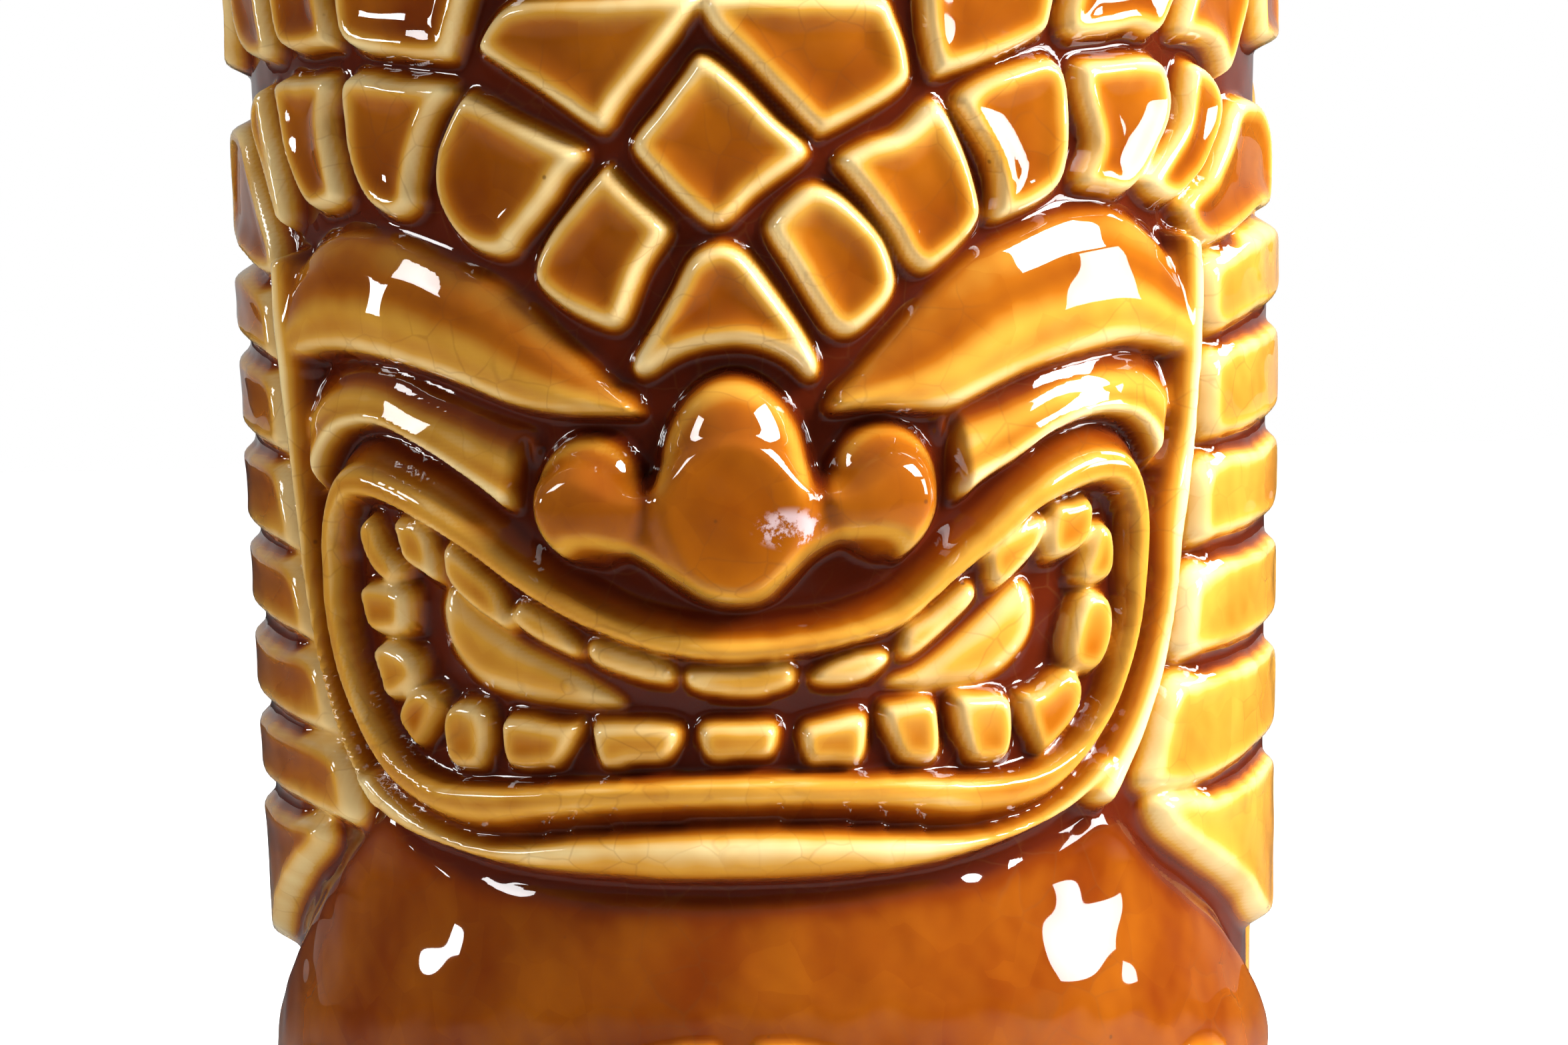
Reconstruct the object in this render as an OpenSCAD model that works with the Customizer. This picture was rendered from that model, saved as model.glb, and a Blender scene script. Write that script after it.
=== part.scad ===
// Tiki mug: a tapered slip-cast stoneware tumbler whose wall carries a carved
// figure in relief, under a glassy amber glaze.
//
// Lengths are millimetres. The origin is the centre of the foot, +Z is up and
// the face looks along -Y. The relief is drawn on the unrolled wall: s is the
// distance round from the front centre line, to the right as one faces the
// mug, and z is the height above the table.

/* [Mug] */
// Height of the mug, foot to rim
mug_h = 150; // [146:1:156]
// Radius of the plain wall between the carvings, at the foot
foot_r = 34.6; // [33:0.1:36]
// Radius of the plain wall between the carvings, at the rim
rim_r = 38.9; // [37:0.1:40]
// Thickness of the clay wall
wall_t = 3.6; // [2.5:0.1:5]
// Thickness of the clay floor
floor_t = 5; // [3:0.5:7]
// Thickness of the glaze coat inside the cup
glaze_t = 0.4; // [0.2:0.1:0.8]

/* [Foot and rim] */
// Height of the unglazed foot ring
foot_h = 3; // [2:0.5:5]
// Width of the foot ring's standing face
foot_w = 5.5; // [4:0.5:8]
// Height of the plain band at the rim
rim_h = 9; // [5:1:12]
// How far the rim band stands out from the plain wall
rim_out = 1.8; // [1:0.1:2.5]

/* [Carving] */
// Relief height of the headdress and brow blocks
block_h = 2.2; // [1:0.1:3]
// Relief height of the eye lobes
eye_h = 3.0; // [1.5:0.1:4]
// Relief height of the cheek folds
cheek_h = 2.8; // [1.5:0.1:4]
// Relief height of the lips
lip_h = 3.4; // [2:0.1:5]
// Relief height of the jaw and chin
jaw_h = 3.2; // [1.5:0.1:4]
// Relief height of the teeth
tooth_h = 2.0; // [1:0.1:3]
// Relief height of the two lobes of the tongue
tongue_h = 1.4; // [0.8:0.1:2]
// How far the tip of the nose stands out from the plain wall
nose_h = 5.4; // [4:0.1:5.8]
// Relief height of the braids
braid_h = 2.4; // [1:0.1:3]
// Relief height of the chest
chest_h = 1.0; // [0.5:0.1:2]
// Relief height of the arms, hands, legs and feet
limb_h = 2.4; // [1.5:0.1:3]
// Relief height of the hair down the back
hair_h = 1.6; // [0.8:0.1:2.5]
// Depth of the hollow in the top of each block
dish = 0.5; // [0:0.1:1]

/* [Repeats] */
// Blocks in the top row of the headdress, all the way round
crown_count = 18; // [12:1:22]
// Locks of hair across the back
lock_count = 9; // [5:1:11]
// Blocks in the lower headdress row round the sides and back
side_count = 11; // [8:1:13]

/* [Hidden] */
$fn = 96;
unroll_r = 40;                       // radius at which s is measured
half_round = PI * unroll_r;          // s of the back centre line
glaze_pale = [0.80, 0.62, 0.36];
glaze_gold = [0.72, 0.45, 0.14];
glaze_brown = [0.45, 0.21, 0.06];
glaze_dark = [0.26, 0.09, 0.03];
clay = [0.78, 0.70, 0.58];

// Radius of the plain wall at height z
function ground(z) = foot_r + (rim_r - foot_r) * z / mug_h;

// Point on the carved wall, h above the plain wall
function on_wall(s, z, h) =
    let (turn = s / unroll_r * 180 / PI, r = ground(z) + h)
    [r * sin(turn), -r * cos(turn), z];

// Mirror image of an outline or of a list of rows about the centre line
function mirrored(list) = [for (p = list) [for (i = [0:len(p) - 1]) i % 2 == 0 ? -p[i] : p[i]]];

// Outline or rows carried round the wall by ds and up by dz
function shifted(list, ds, dz) = [for (p = list) [for (i = [0:len(p) - 1]) i % 2 == 0 ? p[i] + ds : p[i] + dz]];

function reversed(list) = [for (i = [len(list) - 1:-1:0]) list[i]];
function total(list, i = 0) = i == len(list) - 1 ? list[i] : list[i] + total(list, i + 1);
function middle(list) = total(list) / len(list);

// Twice the signed area of an outline, positive when it runs anticlockwise
function turning(list) = total([for (i = [0:len(list) - 1])
    let (p = list[i], q = list[(i + 1) % len(list)]) p[0] * q[1] - q[0] * p[1]]);

// Point p moved toward m by d, or by less than half way
function toward(p, m, d) = p + (m - p) * min(0.45, d / norm(m - p));

// A raised block: outline on the wall, steep sides, a rounded rim and a
// slightly hollow top
module pad(outline, h, rim_w = 1.0, hollow = dish) {
    ring = turning(outline) > 0 ? outline : reversed(outline);
    n = len(ring);
    m = middle(ring);
    points = concat(
        [for (p = ring) on_wall(p[0], p[1], 0)],
        [for (p = ring) let (q = toward(p, m, rim_w * 0.35)) on_wall(q[0], q[1], h * 0.75)],
        [for (p = ring) let (q = toward(p, m, rim_w)) on_wall(q[0], q[1], h)],
        [on_wall(m[0], m[1], h - hollow), on_wall(m[0], m[1], 0)]);
    faces = [for (i = [0:n - 1]) let (j = (i + 1) % n) each [
        [i, n + i, n + j], [i, n + j, j],
        [n + i, 2 * n + i, 2 * n + j], [n + i, 2 * n + j, n + j],
        [2 * n + i, 3 * n, 2 * n + j], [i, j, 3 * n + 1]]];
    polyhedron(points, faces, convexity = 6);
}

// Height across a band, from one edge to the other
BAND = [[0, 0], [0.16, 0.75], [0.5, 1], [0.84, 0.75], [1, 0]];

// A rounded fold: each row holds one point of each edge, [s, z, s, z]. A
// closed band runs back to its first row.
module band(rows, h, end_h = 0.6, closed = false) {
    loop = closed ? [for (r = rows) [r[0], r[1]]]
                  : concat([for (r = rows) [r[0], r[1]]], reversed([for (r = rows) [r[2], r[3]]]));
    list = turning(loop) < 0 ? rows : reversed(rows);
    n = len(list);
    m = len(BAND);
    points = [for (i = [0:n - 1]) let (
        r = list[i],
        k = !closed && (i == 0 || i == n - 1) ? end_h : 1)
        for (b = BAND) on_wall(r[0] + (r[2] - r[0]) * b[0], r[1] + (r[3] - r[1]) * b[0], h * b[1] * k)];
    steps = closed ? n - 1 : n - 2;
    sides = [for (i = [0:steps]) for (k = [0:m - 1]) let (
        i2 = (i + 1) % n, k2 = (k + 1) % m,
        a = i * m + k, b = i2 * m + k, c = i2 * m + k2, d = i * m + k2)
        each [[a, b, c], [a, c, d]]];
    ends = closed ? [] : concat(
        [for (k = [1:m - 2]) [0, k, k + 1]],
        [for (k = [1:m - 2]) let (o = (n - 1) * m) [o, o + k + 1, o + k]]);
    polyhedron(points, concat(sides, ends), convexity = 8);
}

// Rows of a band that follows a path of [s, z, half width]
function along(path) = [for (i = [0:len(path) - 1]) let (
    a = path[max(i - 1, 0)], b = path[min(i + 1, len(path) - 1)], p = path[i],
    d = [b[0] - a[0], b[1] - a[1]] / norm([b[0] - a[0], b[1] - a[1]]))
    [p[0] - d[1] * p[2], p[1] + d[0] * p[2], p[0] + d[1] * p[2], p[1] - d[0] * p[2]]];

// Upright block with rounded corners, width w and height t, its middle at s
function upright(s, z, w, t) = [
    [s - w * 0.5, z + t * 0.3], [s - w * 0.36, z + t * 0.5], [s + w * 0.36, z + t * 0.5],
    [s + w * 0.5, z + t * 0.3], [s + w * 0.42, z - t * 0.36], [s + w * 0.3, z - t * 0.5],
    [s - w * 0.3, z - t * 0.5], [s - w * 0.42, z - t * 0.36]];

// ---- outlines of the headdress ----
wing_left = [[-17.5, 113.5], [-14.8, 116.2], [-8, 116.4], [-0.8, 116.4], [-1.2, 115.3], [-3.4, 112.6],
             [-6.6, 109], [-7.8, 107.3], [-9, 107.6], [-13, 110.3], [-17, 112.7]];
wing_right = [[0, 116.4], [6, 116.2], [12, 116], [13.3, 114.5], [14.2, 111.7], [13.7, 109.6],
              [8.2, 106.7], [7.2, 106.9], [5, 109.1], [2.4, 111.9], [0, 114.4]];
row_a_left = [
    [[-30.2, 114], [-31.2, 118], [-31, 123], [-29, 124], [-19, 124], [-17.4, 122.5], [-17.6, 118.5],
     [-19.6, 113.4], [-20.5, 112.5], [-25, 112.9]],
    [[-38.7, 114], [-40.4, 118], [-40.6, 122.6], [-39, 124], [-34.5, 124], [-32.9, 122.8],
     [-32.6, 118], [-31.8, 114.2], [-33, 113.8]],
    [[-47.4, 114.4], [-50, 118], [-50.4, 122.6], [-48.6, 124], [-44, 124], [-42.4, 122.8],
     [-42, 118], [-40.9, 113.9], [-43.5, 113.2]]];
row_a_right = [
    [[16.2, 110.8], [15.4, 114], [15.2, 118.5], [15.4, 122.5], [17, 124], [24.6, 124], [26.4, 122.6],
     [26.3, 118], [25.6, 114.5], [24.8, 113.2], [21, 111.7], [17, 110.6]],
    [[26.9, 113.5], [27.6, 118], [28, 122.6], [29.6, 124], [36.6, 124], [38.6, 122.6], [39, 117.5],
     [37.6, 115], [36.4, 113.5], [35.4, 113.2], [33.5, 113.6], [30.5, 113.2]],
    [[38.6, 114], [40, 117.5], [40.4, 122.6], [42, 124], [48, 124], [50.2, 122.6], [50.2, 117],
     [48, 113], [46.2, 110.6], [45.2, 110.4], [44, 112], [42, 112.9], [39, 113.2]]];
diamond = [[-0.6, 112.2], [2, 110.3], [4.5, 107.7], [6.2, 106.2], [6.7, 105.3], [6, 104.5], [3, 102.5],
           [1, 100.7], [0, 100.4], [-1, 100.8], [-3, 102.7], [-5, 104.8], [-5.8, 106], [-5.3, 107],
           [-4, 108.4], [-2, 110.8]];

// ---- outlines of the brow ----
brow_left = [
    [[-8, 104.5], [-10.5, 102], [-12.5, 99.8], [-13.6, 97.7], [-13.2, 96.2], [-11, 94.6], [-8.5, 93.5],
     [-7.4, 93.4], [-6.6, 94.4], [-5.3, 97.3], [-3.5, 99.8], [-3.7, 100.7], [-5.5, 102.3], [-7.2, 104]],
    [[-9.6, 105.6], [-11, 104], [-12.5, 102], [-14.9, 99.6], [-15.6, 98.8], [-17.2, 98.7], [-19, 99.3],
     [-20.6, 100.8], [-21.7, 103], [-21.6, 105.6], [-20.7, 107.6], [-19, 109.9], [-17.6, 109.6],
     [-15, 108.3], [-12, 106.9]],
    [[-30.3, 111.7], [-25, 111.3], [-20, 110.6], [-21.3, 108.9], [-23, 106], [-23.7, 103.8],
     [-23.9, 102.3], [-25.9, 101.5], [-28.5, 102.5], [-30.2, 105.3], [-30.7, 108.4]],
    [[-40.1, 111.6], [-36, 111.8], [-32.2, 111.5], [-32.9, 108.6], [-32.2, 105.5], [-31.7, 103],
     [-33.5, 102.2], [-36, 102.4], [-38.7, 105.6], [-39.7, 108.8]],
    [[-43, 111.2], [-45, 110.4], [-45.5, 108.3], [-43, 104.5], [-40.8, 101], [-39.6, 102.2],
     [-40.5, 105], [-41.8, 107.8]],
    [[-42, 97.6], [-41.8, 99.3], [-43.5, 102], [-46.5, 105.8], [-49, 108.5], [-54, 108.5], [-57, 105],
     [-57, 100.5], [-50, 98.6], [-45, 97.5]]];
brow_right = [
    [[4.1, 100.9], [5.6, 102.3], [7, 103], [8.5, 102.6], [10, 101.5], [12, 99.3], [12.9, 97],
     [12.8, 95.3], [11.5, 93.8], [9.6, 92.5], [8.2, 92.9], [7.2, 94.2], [5.5, 97], [3.8, 99.8]],
    [[9, 104.8], [11, 105.9], [13.3, 106.6], [15.8, 108.6], [16.8, 108.2], [17.8, 106.5], [18.9, 104],
     [19.6, 101.5], [19.5, 100.3], [18.5, 99], [16.8, 97.6], [15.2, 96.8], [13.8, 97.7], [12.8, 99.5],
     [11, 102], [9.3, 104]],
    [[17.9, 108.8], [19.5, 110], [22.3, 111], [25.3, 111.6], [26.7, 110.7], [27.2, 108.5],
     [27.2, 105.5], [26.6, 103], [25, 101.6], [21.3, 100.3], [20.6, 100.6], [20.9, 102],
     [20.3, 104.5], [18.3, 107.6]],
    [[28, 110], [28.4, 111.2], [31, 111.5], [35, 111.7], [36.8, 111.2], [37.7, 109], [37.4, 107],
     [36, 104.9], [34.3, 102.9], [32.6, 101.9], [30.5, 102.1], [28.1, 102.8], [29.3, 105.5],
     [28.3, 108.5]],
    [[39.7, 109.8], [40.3, 111.2], [42, 111.1], [43.9, 110], [44.8, 108.5], [44.2, 106.3],
     [42, 103.6], [40, 102.2], [38.5, 101.4], [37, 101.3], [35.2, 102.1], [34.9, 103], [37, 105],
     [39, 107]],
    [[39.2, 101], [41, 102.3], [43, 103.3], [45.5, 105.8], [48, 108.5], [53, 108.5], [57, 106],
     [57, 101], [52, 100.2], [46, 98.5], [43, 98], [41, 98.5], [39.5, 100]]];
triangle = [[0, 99], [1.3, 98.8], [2.4, 98], [4, 95.9], [5.8, 93.3], [6.9, 91.2], [7.1, 90.1],
            [6.5, 89.6], [5, 90.9], [3, 91.8], [1, 92.1], [-1.5, 91.8], [-3.5, 91.1], [-5.4, 90],
            [-6.3, 90.4], [-6, 91.4], [-4.5, 93.6], [-3, 96], [-1.8, 98.1]];

// ---- rows of the face folds, from the nose outward ----
eye_rows_left = [[-5.8, 88, -5.8, 87.2], [-8.5, 90.2, -9, 87.1], [-12, 93.2, -13, 87.3],
    [-15, 95.8, -16.5, 88], [-19, 97.8, -20, 89.2], [-23, 99.2, -24, 90.3], [-28, 100.6, -28.5, 91.2],
    [-33, 100.8, -33, 91.6], [-37, 99.3, -36.5, 91.4], [-40.5, 96.5, -39, 91]];
eye_rows_right = [[7.8, 88.1, 7.8, 87.1], [10.5, 90.8, 10.5, 87.2], [13, 93.3, 14, 86.9],
    [15.3, 95.6, 17, 86.9], [18.5, 98, 20.5, 88.2], [22, 99.5, 24, 89.4], [27, 101, 28.5, 90.4],
    [32, 101.1, 33, 90.9], [36.5, 99, 37, 90.6], [40, 95.8, 39.2, 90]];
cheek_rows_left = [[-15.3, 85.2, -16.2, 80], [-18, 86, -18.5, 81.8], [-21, 87, -21.5, 83.6],
    [-24.5, 88.2, -25, 85.3], [-27.5, 89.3, -28, 86.2], [-30.5, 89.8, -30.8, 86.3],
    [-33, 89.3, -33, 85.4], [-35.3, 88, -34.6, 83.8], [-36.8, 86, -35.5, 81.5]];
cheek_rows_right = [[17.3, 86.1, 17.3, 80], [20, 87, 19.5, 81.7], [23, 88.1, 22.3, 83.2],
    [26, 89.1, 25.3, 84.9], [30, 89.7, 28.5, 85.9], [33.2, 89.7, 31.5, 85.9], [35.8, 88.7, 33.8, 84.8],
    [37.2, 86.8, 35, 82.5]];
jaw_rows_left = [[-41.2, 90.5, -37.3, 90.5], [-39.8, 85.5, -37, 85.8], [-38.9, 80, -35.9, 80],
    [-38.3, 76, -35.8, 75.6], [-37, 70, -34.9, 69.6], [-34.8, 65, -32.7, 65.2], [-32, 60.6, -29.5, 61.2]];
jaw_rows_right = [[40.9, 89.6, 37.8, 89.6], [40.2, 85, 37.2, 85], [39.8, 80, 35, 80.2],
    [38.8, 76.6, 34.8, 75], [37.6, 71, 33.8, 70], [35.6, 65.4, 31.8, 65.3], [32.6, 60, 28.8, 61.3]];
chin_rows = [[-31.6, 60.2, -29.2, 60.8], [-28, 57.6, -25.5, 58.9], [-23, 56.2, -21.5, 57.4],
    [-18, 55.2, -17, 57], [-12, 54.6, -11, 57.7], [-5, 54.2, -5, 58.1], [1, 54.1, 1, 58.2],
    [7, 54.2, 7, 58], [13, 54.6, 12, 57.5], [18, 55.4, 17, 57.1], [23, 57, 21.5, 57.6],
    [27.5, 59.2, 25.5, 59], [31, 61.8, 28.4, 60.9]];

// Lips: outer edge, then inner edge, clockwise from the middle of the top lip
lip_rows = [[0.5, 71.6, 0.5, 69.8], [5, 71.9, 5, 70.1], [9, 72.5, 9.5, 70.9], [12.5, 73.7, 13, 72],
    [16, 76.6, 17, 75], [19.5, 79.3, 20.5, 77.4], [23.5, 82.2, 24, 79.8], [28, 84.1, 28.5, 81.2],
    [32, 83.8, 31, 80.8], [34, 80.8, 32, 78.5], [34.2, 76, 32, 75.5], [33.3, 71, 31.4, 70.5],
    [31.3, 66.2, 29.6, 66.2], [28, 61.9, 26.8, 63.2], [24.3, 59.2, 23.2, 61.5], [19, 58.2, 18.5, 61.1],
    [13, 58.9, 13, 61.4], [7, 59.3, 7, 61.6], [0, 59.4, 0, 61.7], [-7, 59.2, -7, 61.5],
    [-13, 58.7, -13, 61.2], [-19.5, 57.9, -18.5, 61], [-24.6, 59, -23.4, 61.3], [-28.8, 61.3, -27, 63],
    [-32, 65.2, -29.8, 66], [-34.3, 69.6, -31.6, 69.6], [-35.2, 74.5, -32.7, 74], [-35, 79, -32.6, 78.5],
    [-33.4, 82.8, -31.6, 80.8], [-30.5, 84.3, -29.6, 81.3], [-26.5, 83.4, -26.6, 80.7],
    [-22.5, 81.9, -23.2, 79.3], [-19, 79.9, -19.6, 77.5], [-15.5, 77.4, -16, 75.2],
    [-12, 75.2, -12.2, 73.1], [-8, 73.3, -8, 71.4], [-4, 72.1, -4, 70.3]];

teeth_up = [
    [[-2.6, 69.3], [-2.9, 68.2], [-1, 67.6], [2, 67.4], [4.6, 68], [4.9, 68.8], [4.4, 69.5], [1, 69.2]],
    [[-10, 71.3], [-10.2, 70], [-8, 69.1], [-5.5, 68.5], [-4.1, 68.5], [-4.4, 69.7], [-7, 70.5]],
    [[-15.8, 74], [-16.4, 72.9], [-15.3, 71.9], [-13, 70.8], [-11.3, 70.3], [-11.6, 71.6], [-14, 73.3]],
    [[-22, 78.2], [-22.2, 76], [-21, 74.5], [-18.5, 72.9], [-16.7, 72.3], [-17.6, 75], [-19, 76.2]],
    [[-27, 79.9], [-26.7, 78.2], [-26.2, 76.9], [-24.6, 76.1], [-23.2, 75.7], [-23.9, 79.2]],
    [[-29.6, 80], [-28.6, 78], [-26.8, 76.2], [-27.8, 75.3], [-29.5, 76], [-30.8, 77.8], [-31, 79.3]],
    [[-31, 75], [-31, 73], [-30.3, 71.8], [-28.5, 71.6], [-26.8, 71.9], [-26.3, 73.2], [-26.6, 74.8]],
    [[-30.1, 70.3], [-28.5, 70.9], [-26.3, 70.2], [-25.4, 69], [-26, 67.8], [-28.6, 66.9], [-29.4, 68.3]],
    [[6.2, 68.6], [7.8, 69.6], [10.5, 70.2], [12, 69.7], [10, 68.3], [7, 68.1]],
    [[12.8, 70.2], [13.3, 71.6], [15, 72.6], [18, 74.6], [18.6, 73.5], [15, 70.6], [13.5, 69.8]],
    [[19.7, 76.8], [21.5, 78.2], [24.3, 79.2], [24.2, 77.3], [22, 75.2], [20.3, 74.4]],
    [[25.2, 79.6], [27, 80.1], [28.8, 80.2], [29, 78.6], [28.4, 77.2], [27, 76.4], [25, 76.4]],
    [[29.4, 78.4], [30.8, 78], [31.1, 76], [30.6, 74.6], [29.3, 74.2], [27.8, 74.7], [28.6, 76.4]],
    [[28, 73.2], [30.2, 73.3], [30.9, 72], [30.7, 70], [29.8, 68.4], [28.5, 67.9], [26.7, 69]]];
teeth_low = [
    [[-27.8, 65.6], [-26.8, 67.3], [-25, 68], [-23.3, 67.2], [-23.6, 65.8], [-25.5, 63.4], [-26.9, 64.2]],
    [[-23.2, 65.3], [-22.5, 66.7], [-21, 67], [-19.3, 66.4], [-18.9, 64.5], [-19.3, 62.5], [-20.3, 62],
     [-22.3, 62.1], [-23, 63]],
    [[-17.9, 65.5], [-16.5, 66], [-13, 65.5], [-11.3, 65.4], [-12.7, 62.7], [-14, 62.2], [-16.3, 62.1],
     [-17.6, 62.6]],
    [[-10.5, 65.2], [-9.5, 65.6], [-3.8, 65.3], [-4.4, 62.9], [-7, 62.6], [-9.6, 62.3]],
    [[-2.2, 65.3], [0.8, 65.5], [3.6, 65.3], [3.2, 63], [0.8, 62.8], [-1.7, 62.9]],
    [[5.3, 64.9], [7, 65.5], [9.7, 65.9], [10.4, 65.2], [9.8, 62.3], [7.5, 62.3], [5.7, 62.5]],
    [[11.3, 66], [13, 66.6], [15.4, 66.6], [15.9, 65], [15.9, 63], [15.3, 62.1], [13.2, 62.2], [12.3, 63]],
    [[16.9, 66.5], [19, 66.9], [21.5, 66.6], [21.9, 64.8], [21.7, 62.9], [20.9, 61.9], [18.5, 61.9],
     [17.7, 62.9]],
    [[22.4, 66.2], [24, 67], [26.4, 68.2], [27.9, 67.6], [28.1, 66], [27.2, 64.3], [24.5, 62.2],
     [23.6, 62.6]]];
tongue_rows_left = [[-23.3, 75, -23.8, 73.4], [-21.6, 74.4, -23, 70.6], [-19, 72.6, -20.6, 68.3],
    [-16, 71, -17, 67.2], [-13, 69.8, -13.5, 66.8], [-10.5, 68.6, -10.5, 66.5], [-8.4, 67.4, -8.2, 66.6]];
tongue_rows_right = [[23.4, 74.8, 24.4, 73], [21.4, 73.8, 23.8, 70.6], [18.8, 71.8, 21.6, 68.4],
    [16.6, 70.3, 18, 67.4], [14.4, 69, 15, 67.2], [12.2, 68.3, 12.3, 67.5]];

// Ridge that carries the nostrils, its lower edge the lower edge of the nose
nose_rows = [[-14, 82, -13.2, 77.4], [-11, 83, -11.4, 76.8], [-8, 83, -8, 77], [-5, 83, -5, 75.6],
    [-2, 84, -2, 73.7], [1, 84, 1, 73.1], [4, 84, 4, 74.1], [7, 83, 7, 76.7], [10, 83.5, 10, 77.6],
    [12.5, 83.5, 12.7, 76.2], [15.5, 82.5, 14.9, 78.4]];

// ---- rows of the braids: top edge and bottom edge, from the face outward ----
braid_rows_left = [
    [[-42.9, 93.5, -42.8, 91.3], [-44.5, 96, -47, 92], [-50, 97.4, -52, 92.8], [-62, 97.8, -62, 93.6]],
    [[-42.3, 87.5, -42.4, 84.9], [-44, 90, -46, 85], [-50, 91, -51, 85.6], [-62, 91.8, -62, 86.4]],
    [[-41.4, 80.5, -41, 77.6], [-44, 83.4, -45, 77.9], [-50, 84.2, -50, 78.4], [-62, 84.6, -62, 79.2]],
    [[-39.8, 74, -39.4, 71], [-42, 76.2, -43, 71.3], [-48, 76.9, -50, 72], [-62, 77.6, -62, 72.6]],
    [[-36.8, 67, -36.4, 64.3], [-39, 69.4, -40, 64.3], [-46, 69.9, -46, 65], [-62, 71, -62, 66.2]],
    [[-34.5, 60.5, -34.2, 57.9], [-36.5, 62.7, -38, 58], [-44, 63.6, -44, 58.8], [-62, 64.4, -62, 60]],
    [[-38, 56.4, -39, 54.2], [-42, 57, -43, 51.4], [-50, 57.4, -50, 50.4], [-62, 58, -62, 51]]];
braid_rows_right = [
    [[42.7, 95.8, 43.6, 92.2], [47, 97.8, 47, 92.3], [52, 98.9, 52, 93], [62, 99.4, 62, 93.8]],
    [[42.9, 89.2, 43, 84.5], [46.5, 90.8, 46.5, 84.2], [52, 91.4, 52, 84.6], [62, 92, 62, 85.4]],
    [[41.6, 81, 41.4, 76.9], [45, 82.7, 45, 76.8], [52, 83, 52, 77.2], [62, 83.8, 62, 78]],
    [[40, 73.3, 39.2, 68.6], [44, 74.8, 43, 68.5], [52, 75.4, 52, 69], [62, 76, 62, 70]],
    [[37.5, 65.8, 35, 59.4], [42, 66.6, 41, 59.1], [52, 67.4, 52, 60.6], [62, 68, 62, 61.4]],
    [[34.8, 58.3, 38.4, 53.4], [42, 57.9, 43.4, 50.4], [50, 58.4, 50, 50.6], [62, 59.4, 62, 51.4]]];

// ---- chest and limbs ----
chest_rows = [[-43.5, 44.6, -43.5, 26], [-40, 48.6, -40, 24], [-35, 53.2, -35, 22], [-30, 55.6, -30, 20],
    [-24, 54.4, -24, 18], [-16, 53.3, -16, 16], [-8, 52.8, -8, 16], [0, 52.6, 0, 16], [8, 52.8, 8, 16],
    [16, 53.4, 16, 16], [24, 54.6, 24, 18], [30, 55.4, 30, 20], [35, 53, 35, 22], [40, 49.4, 40, 24],
    [44, 45.4, 44, 26]];
arm_path = [[37, 47, 3.5], [40.5, 41, 5.5], [42, 34, 5.5], [40.5, 28.5, 5], [35, 28, 4.8],
            [28, 31.5, 4.6], [21, 35.5, 4.4], [18.5, 36.8, 4]];
finger_tip = [[17.5, 41.6], [17.5, 38.4], [17, 35.2], [16, 32.2]];
leg_path = [[9.5, 21.5, 3.6], [16, 23.5, 4.6], [23, 23, 5], [28.5, 19, 5], [29.5, 14, 4.2], [28, 10.8, 3.6]];
foot_outline = [[31.5, 4], [32, 8], [29.5, 11], [23, 11.6], [15, 10.6], [11, 8.6], [10.4, 4]];
toe_z = 6.2;

// ---- the turned body ----
module turned(profile) rotate_extrude($fn = 180) polygon(profile);

module cup_wall() color(glaze_brown)
    turned([[ground(foot_h + floor_t) - wall_t, foot_h + floor_t], [ground(foot_h + floor_t), foot_h + floor_t],
            [ground(mug_h - rim_h), mug_h - rim_h], [ground(mug_h - rim_h) - wall_t, mug_h - rim_h]]);

module cup_floor() color(glaze_dark)
    turned([[0, foot_h], [ground(foot_h), foot_h], [ground(foot_h + floor_t), foot_h + floor_t],
            [0, foot_h + floor_t]]);

module foot_ring() color(clay)
    turned([[ground(0) - foot_w, 0], [ground(0) - 0.8, 0], [ground(0), 0.8], [ground(foot_h), foot_h],
            [ground(0) - foot_w - 1, foot_h], [ground(0) - foot_w - 0.6, 0.8]]);

// The rim's inner face carries on the taper of the cup, and its lip is round
module rim_band() color(glaze_gold) {
    inner = ground(mug_h) - wall_t;
    outer = ground(mug_h) + rim_out;
    lip = (outer - inner) / 2;
    low = mug_h - rim_h;
    turned(concat(
        [[ground(low) - wall_t, low], [ground(low) + rim_out * 0.5, low], [ground(low + 1.5) + rim_out, low + 1.5]],
        [for (a = [0:15:180]) [inner + lip + lip * cos(a), mug_h - lip + lip * sin(a)]]));
}

module inner_glaze() color(glaze_pale) {
    base = foot_h + floor_t;
    low = mug_h - rim_h;
    turned([[0, base], [ground(base) - wall_t, base], [ground(low) - wall_t, low],
            [ground(low) - wall_t - glaze_t, low], [ground(base) - wall_t - glaze_t, base + glaze_t],
            [0, base + glaze_t]]);
}

// ---- the headdress ----
module crown_row() color(glaze_gold)
    for (i = [0:crown_count - 1]) {
        pitch = 2 * half_round / crown_count;
        pad(upright(i * pitch, 132.5, pitch - 2.2, 12.5), block_h);
    }

module headdress_row() color(glaze_pale) {
    for (outline = row_a_left) pad(outline, block_h);
    for (outline = row_a_right) pad(outline, block_h);
    for (s = [-11, 0, 11]) pad(upright(s, 121, 9.4, 6), block_h);
    side_pitch = (2 * half_round - 103) / side_count;
    for (i = [0:side_count - 1]) pad(upright(51.5 + side_pitch * (i + 0.5), 118.5, side_pitch - 2, 11), block_h);
}

module headdress_wings() color(glaze_gold) {
    pad(wing_left, block_h);
    pad(wing_right, block_h);
}

module brow_diamond() color(glaze_gold) pad(diamond, block_h + 0.2);
module brow_row_left() color(glaze_gold) for (outline = brow_left) pad(outline, block_h);
module brow_row_right() color(glaze_gold) for (outline = brow_right) pad(outline, block_h);
module brow_triangle() color(glaze_gold) pad(triangle, block_h + 0.3, rim_w = 0.8);

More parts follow.
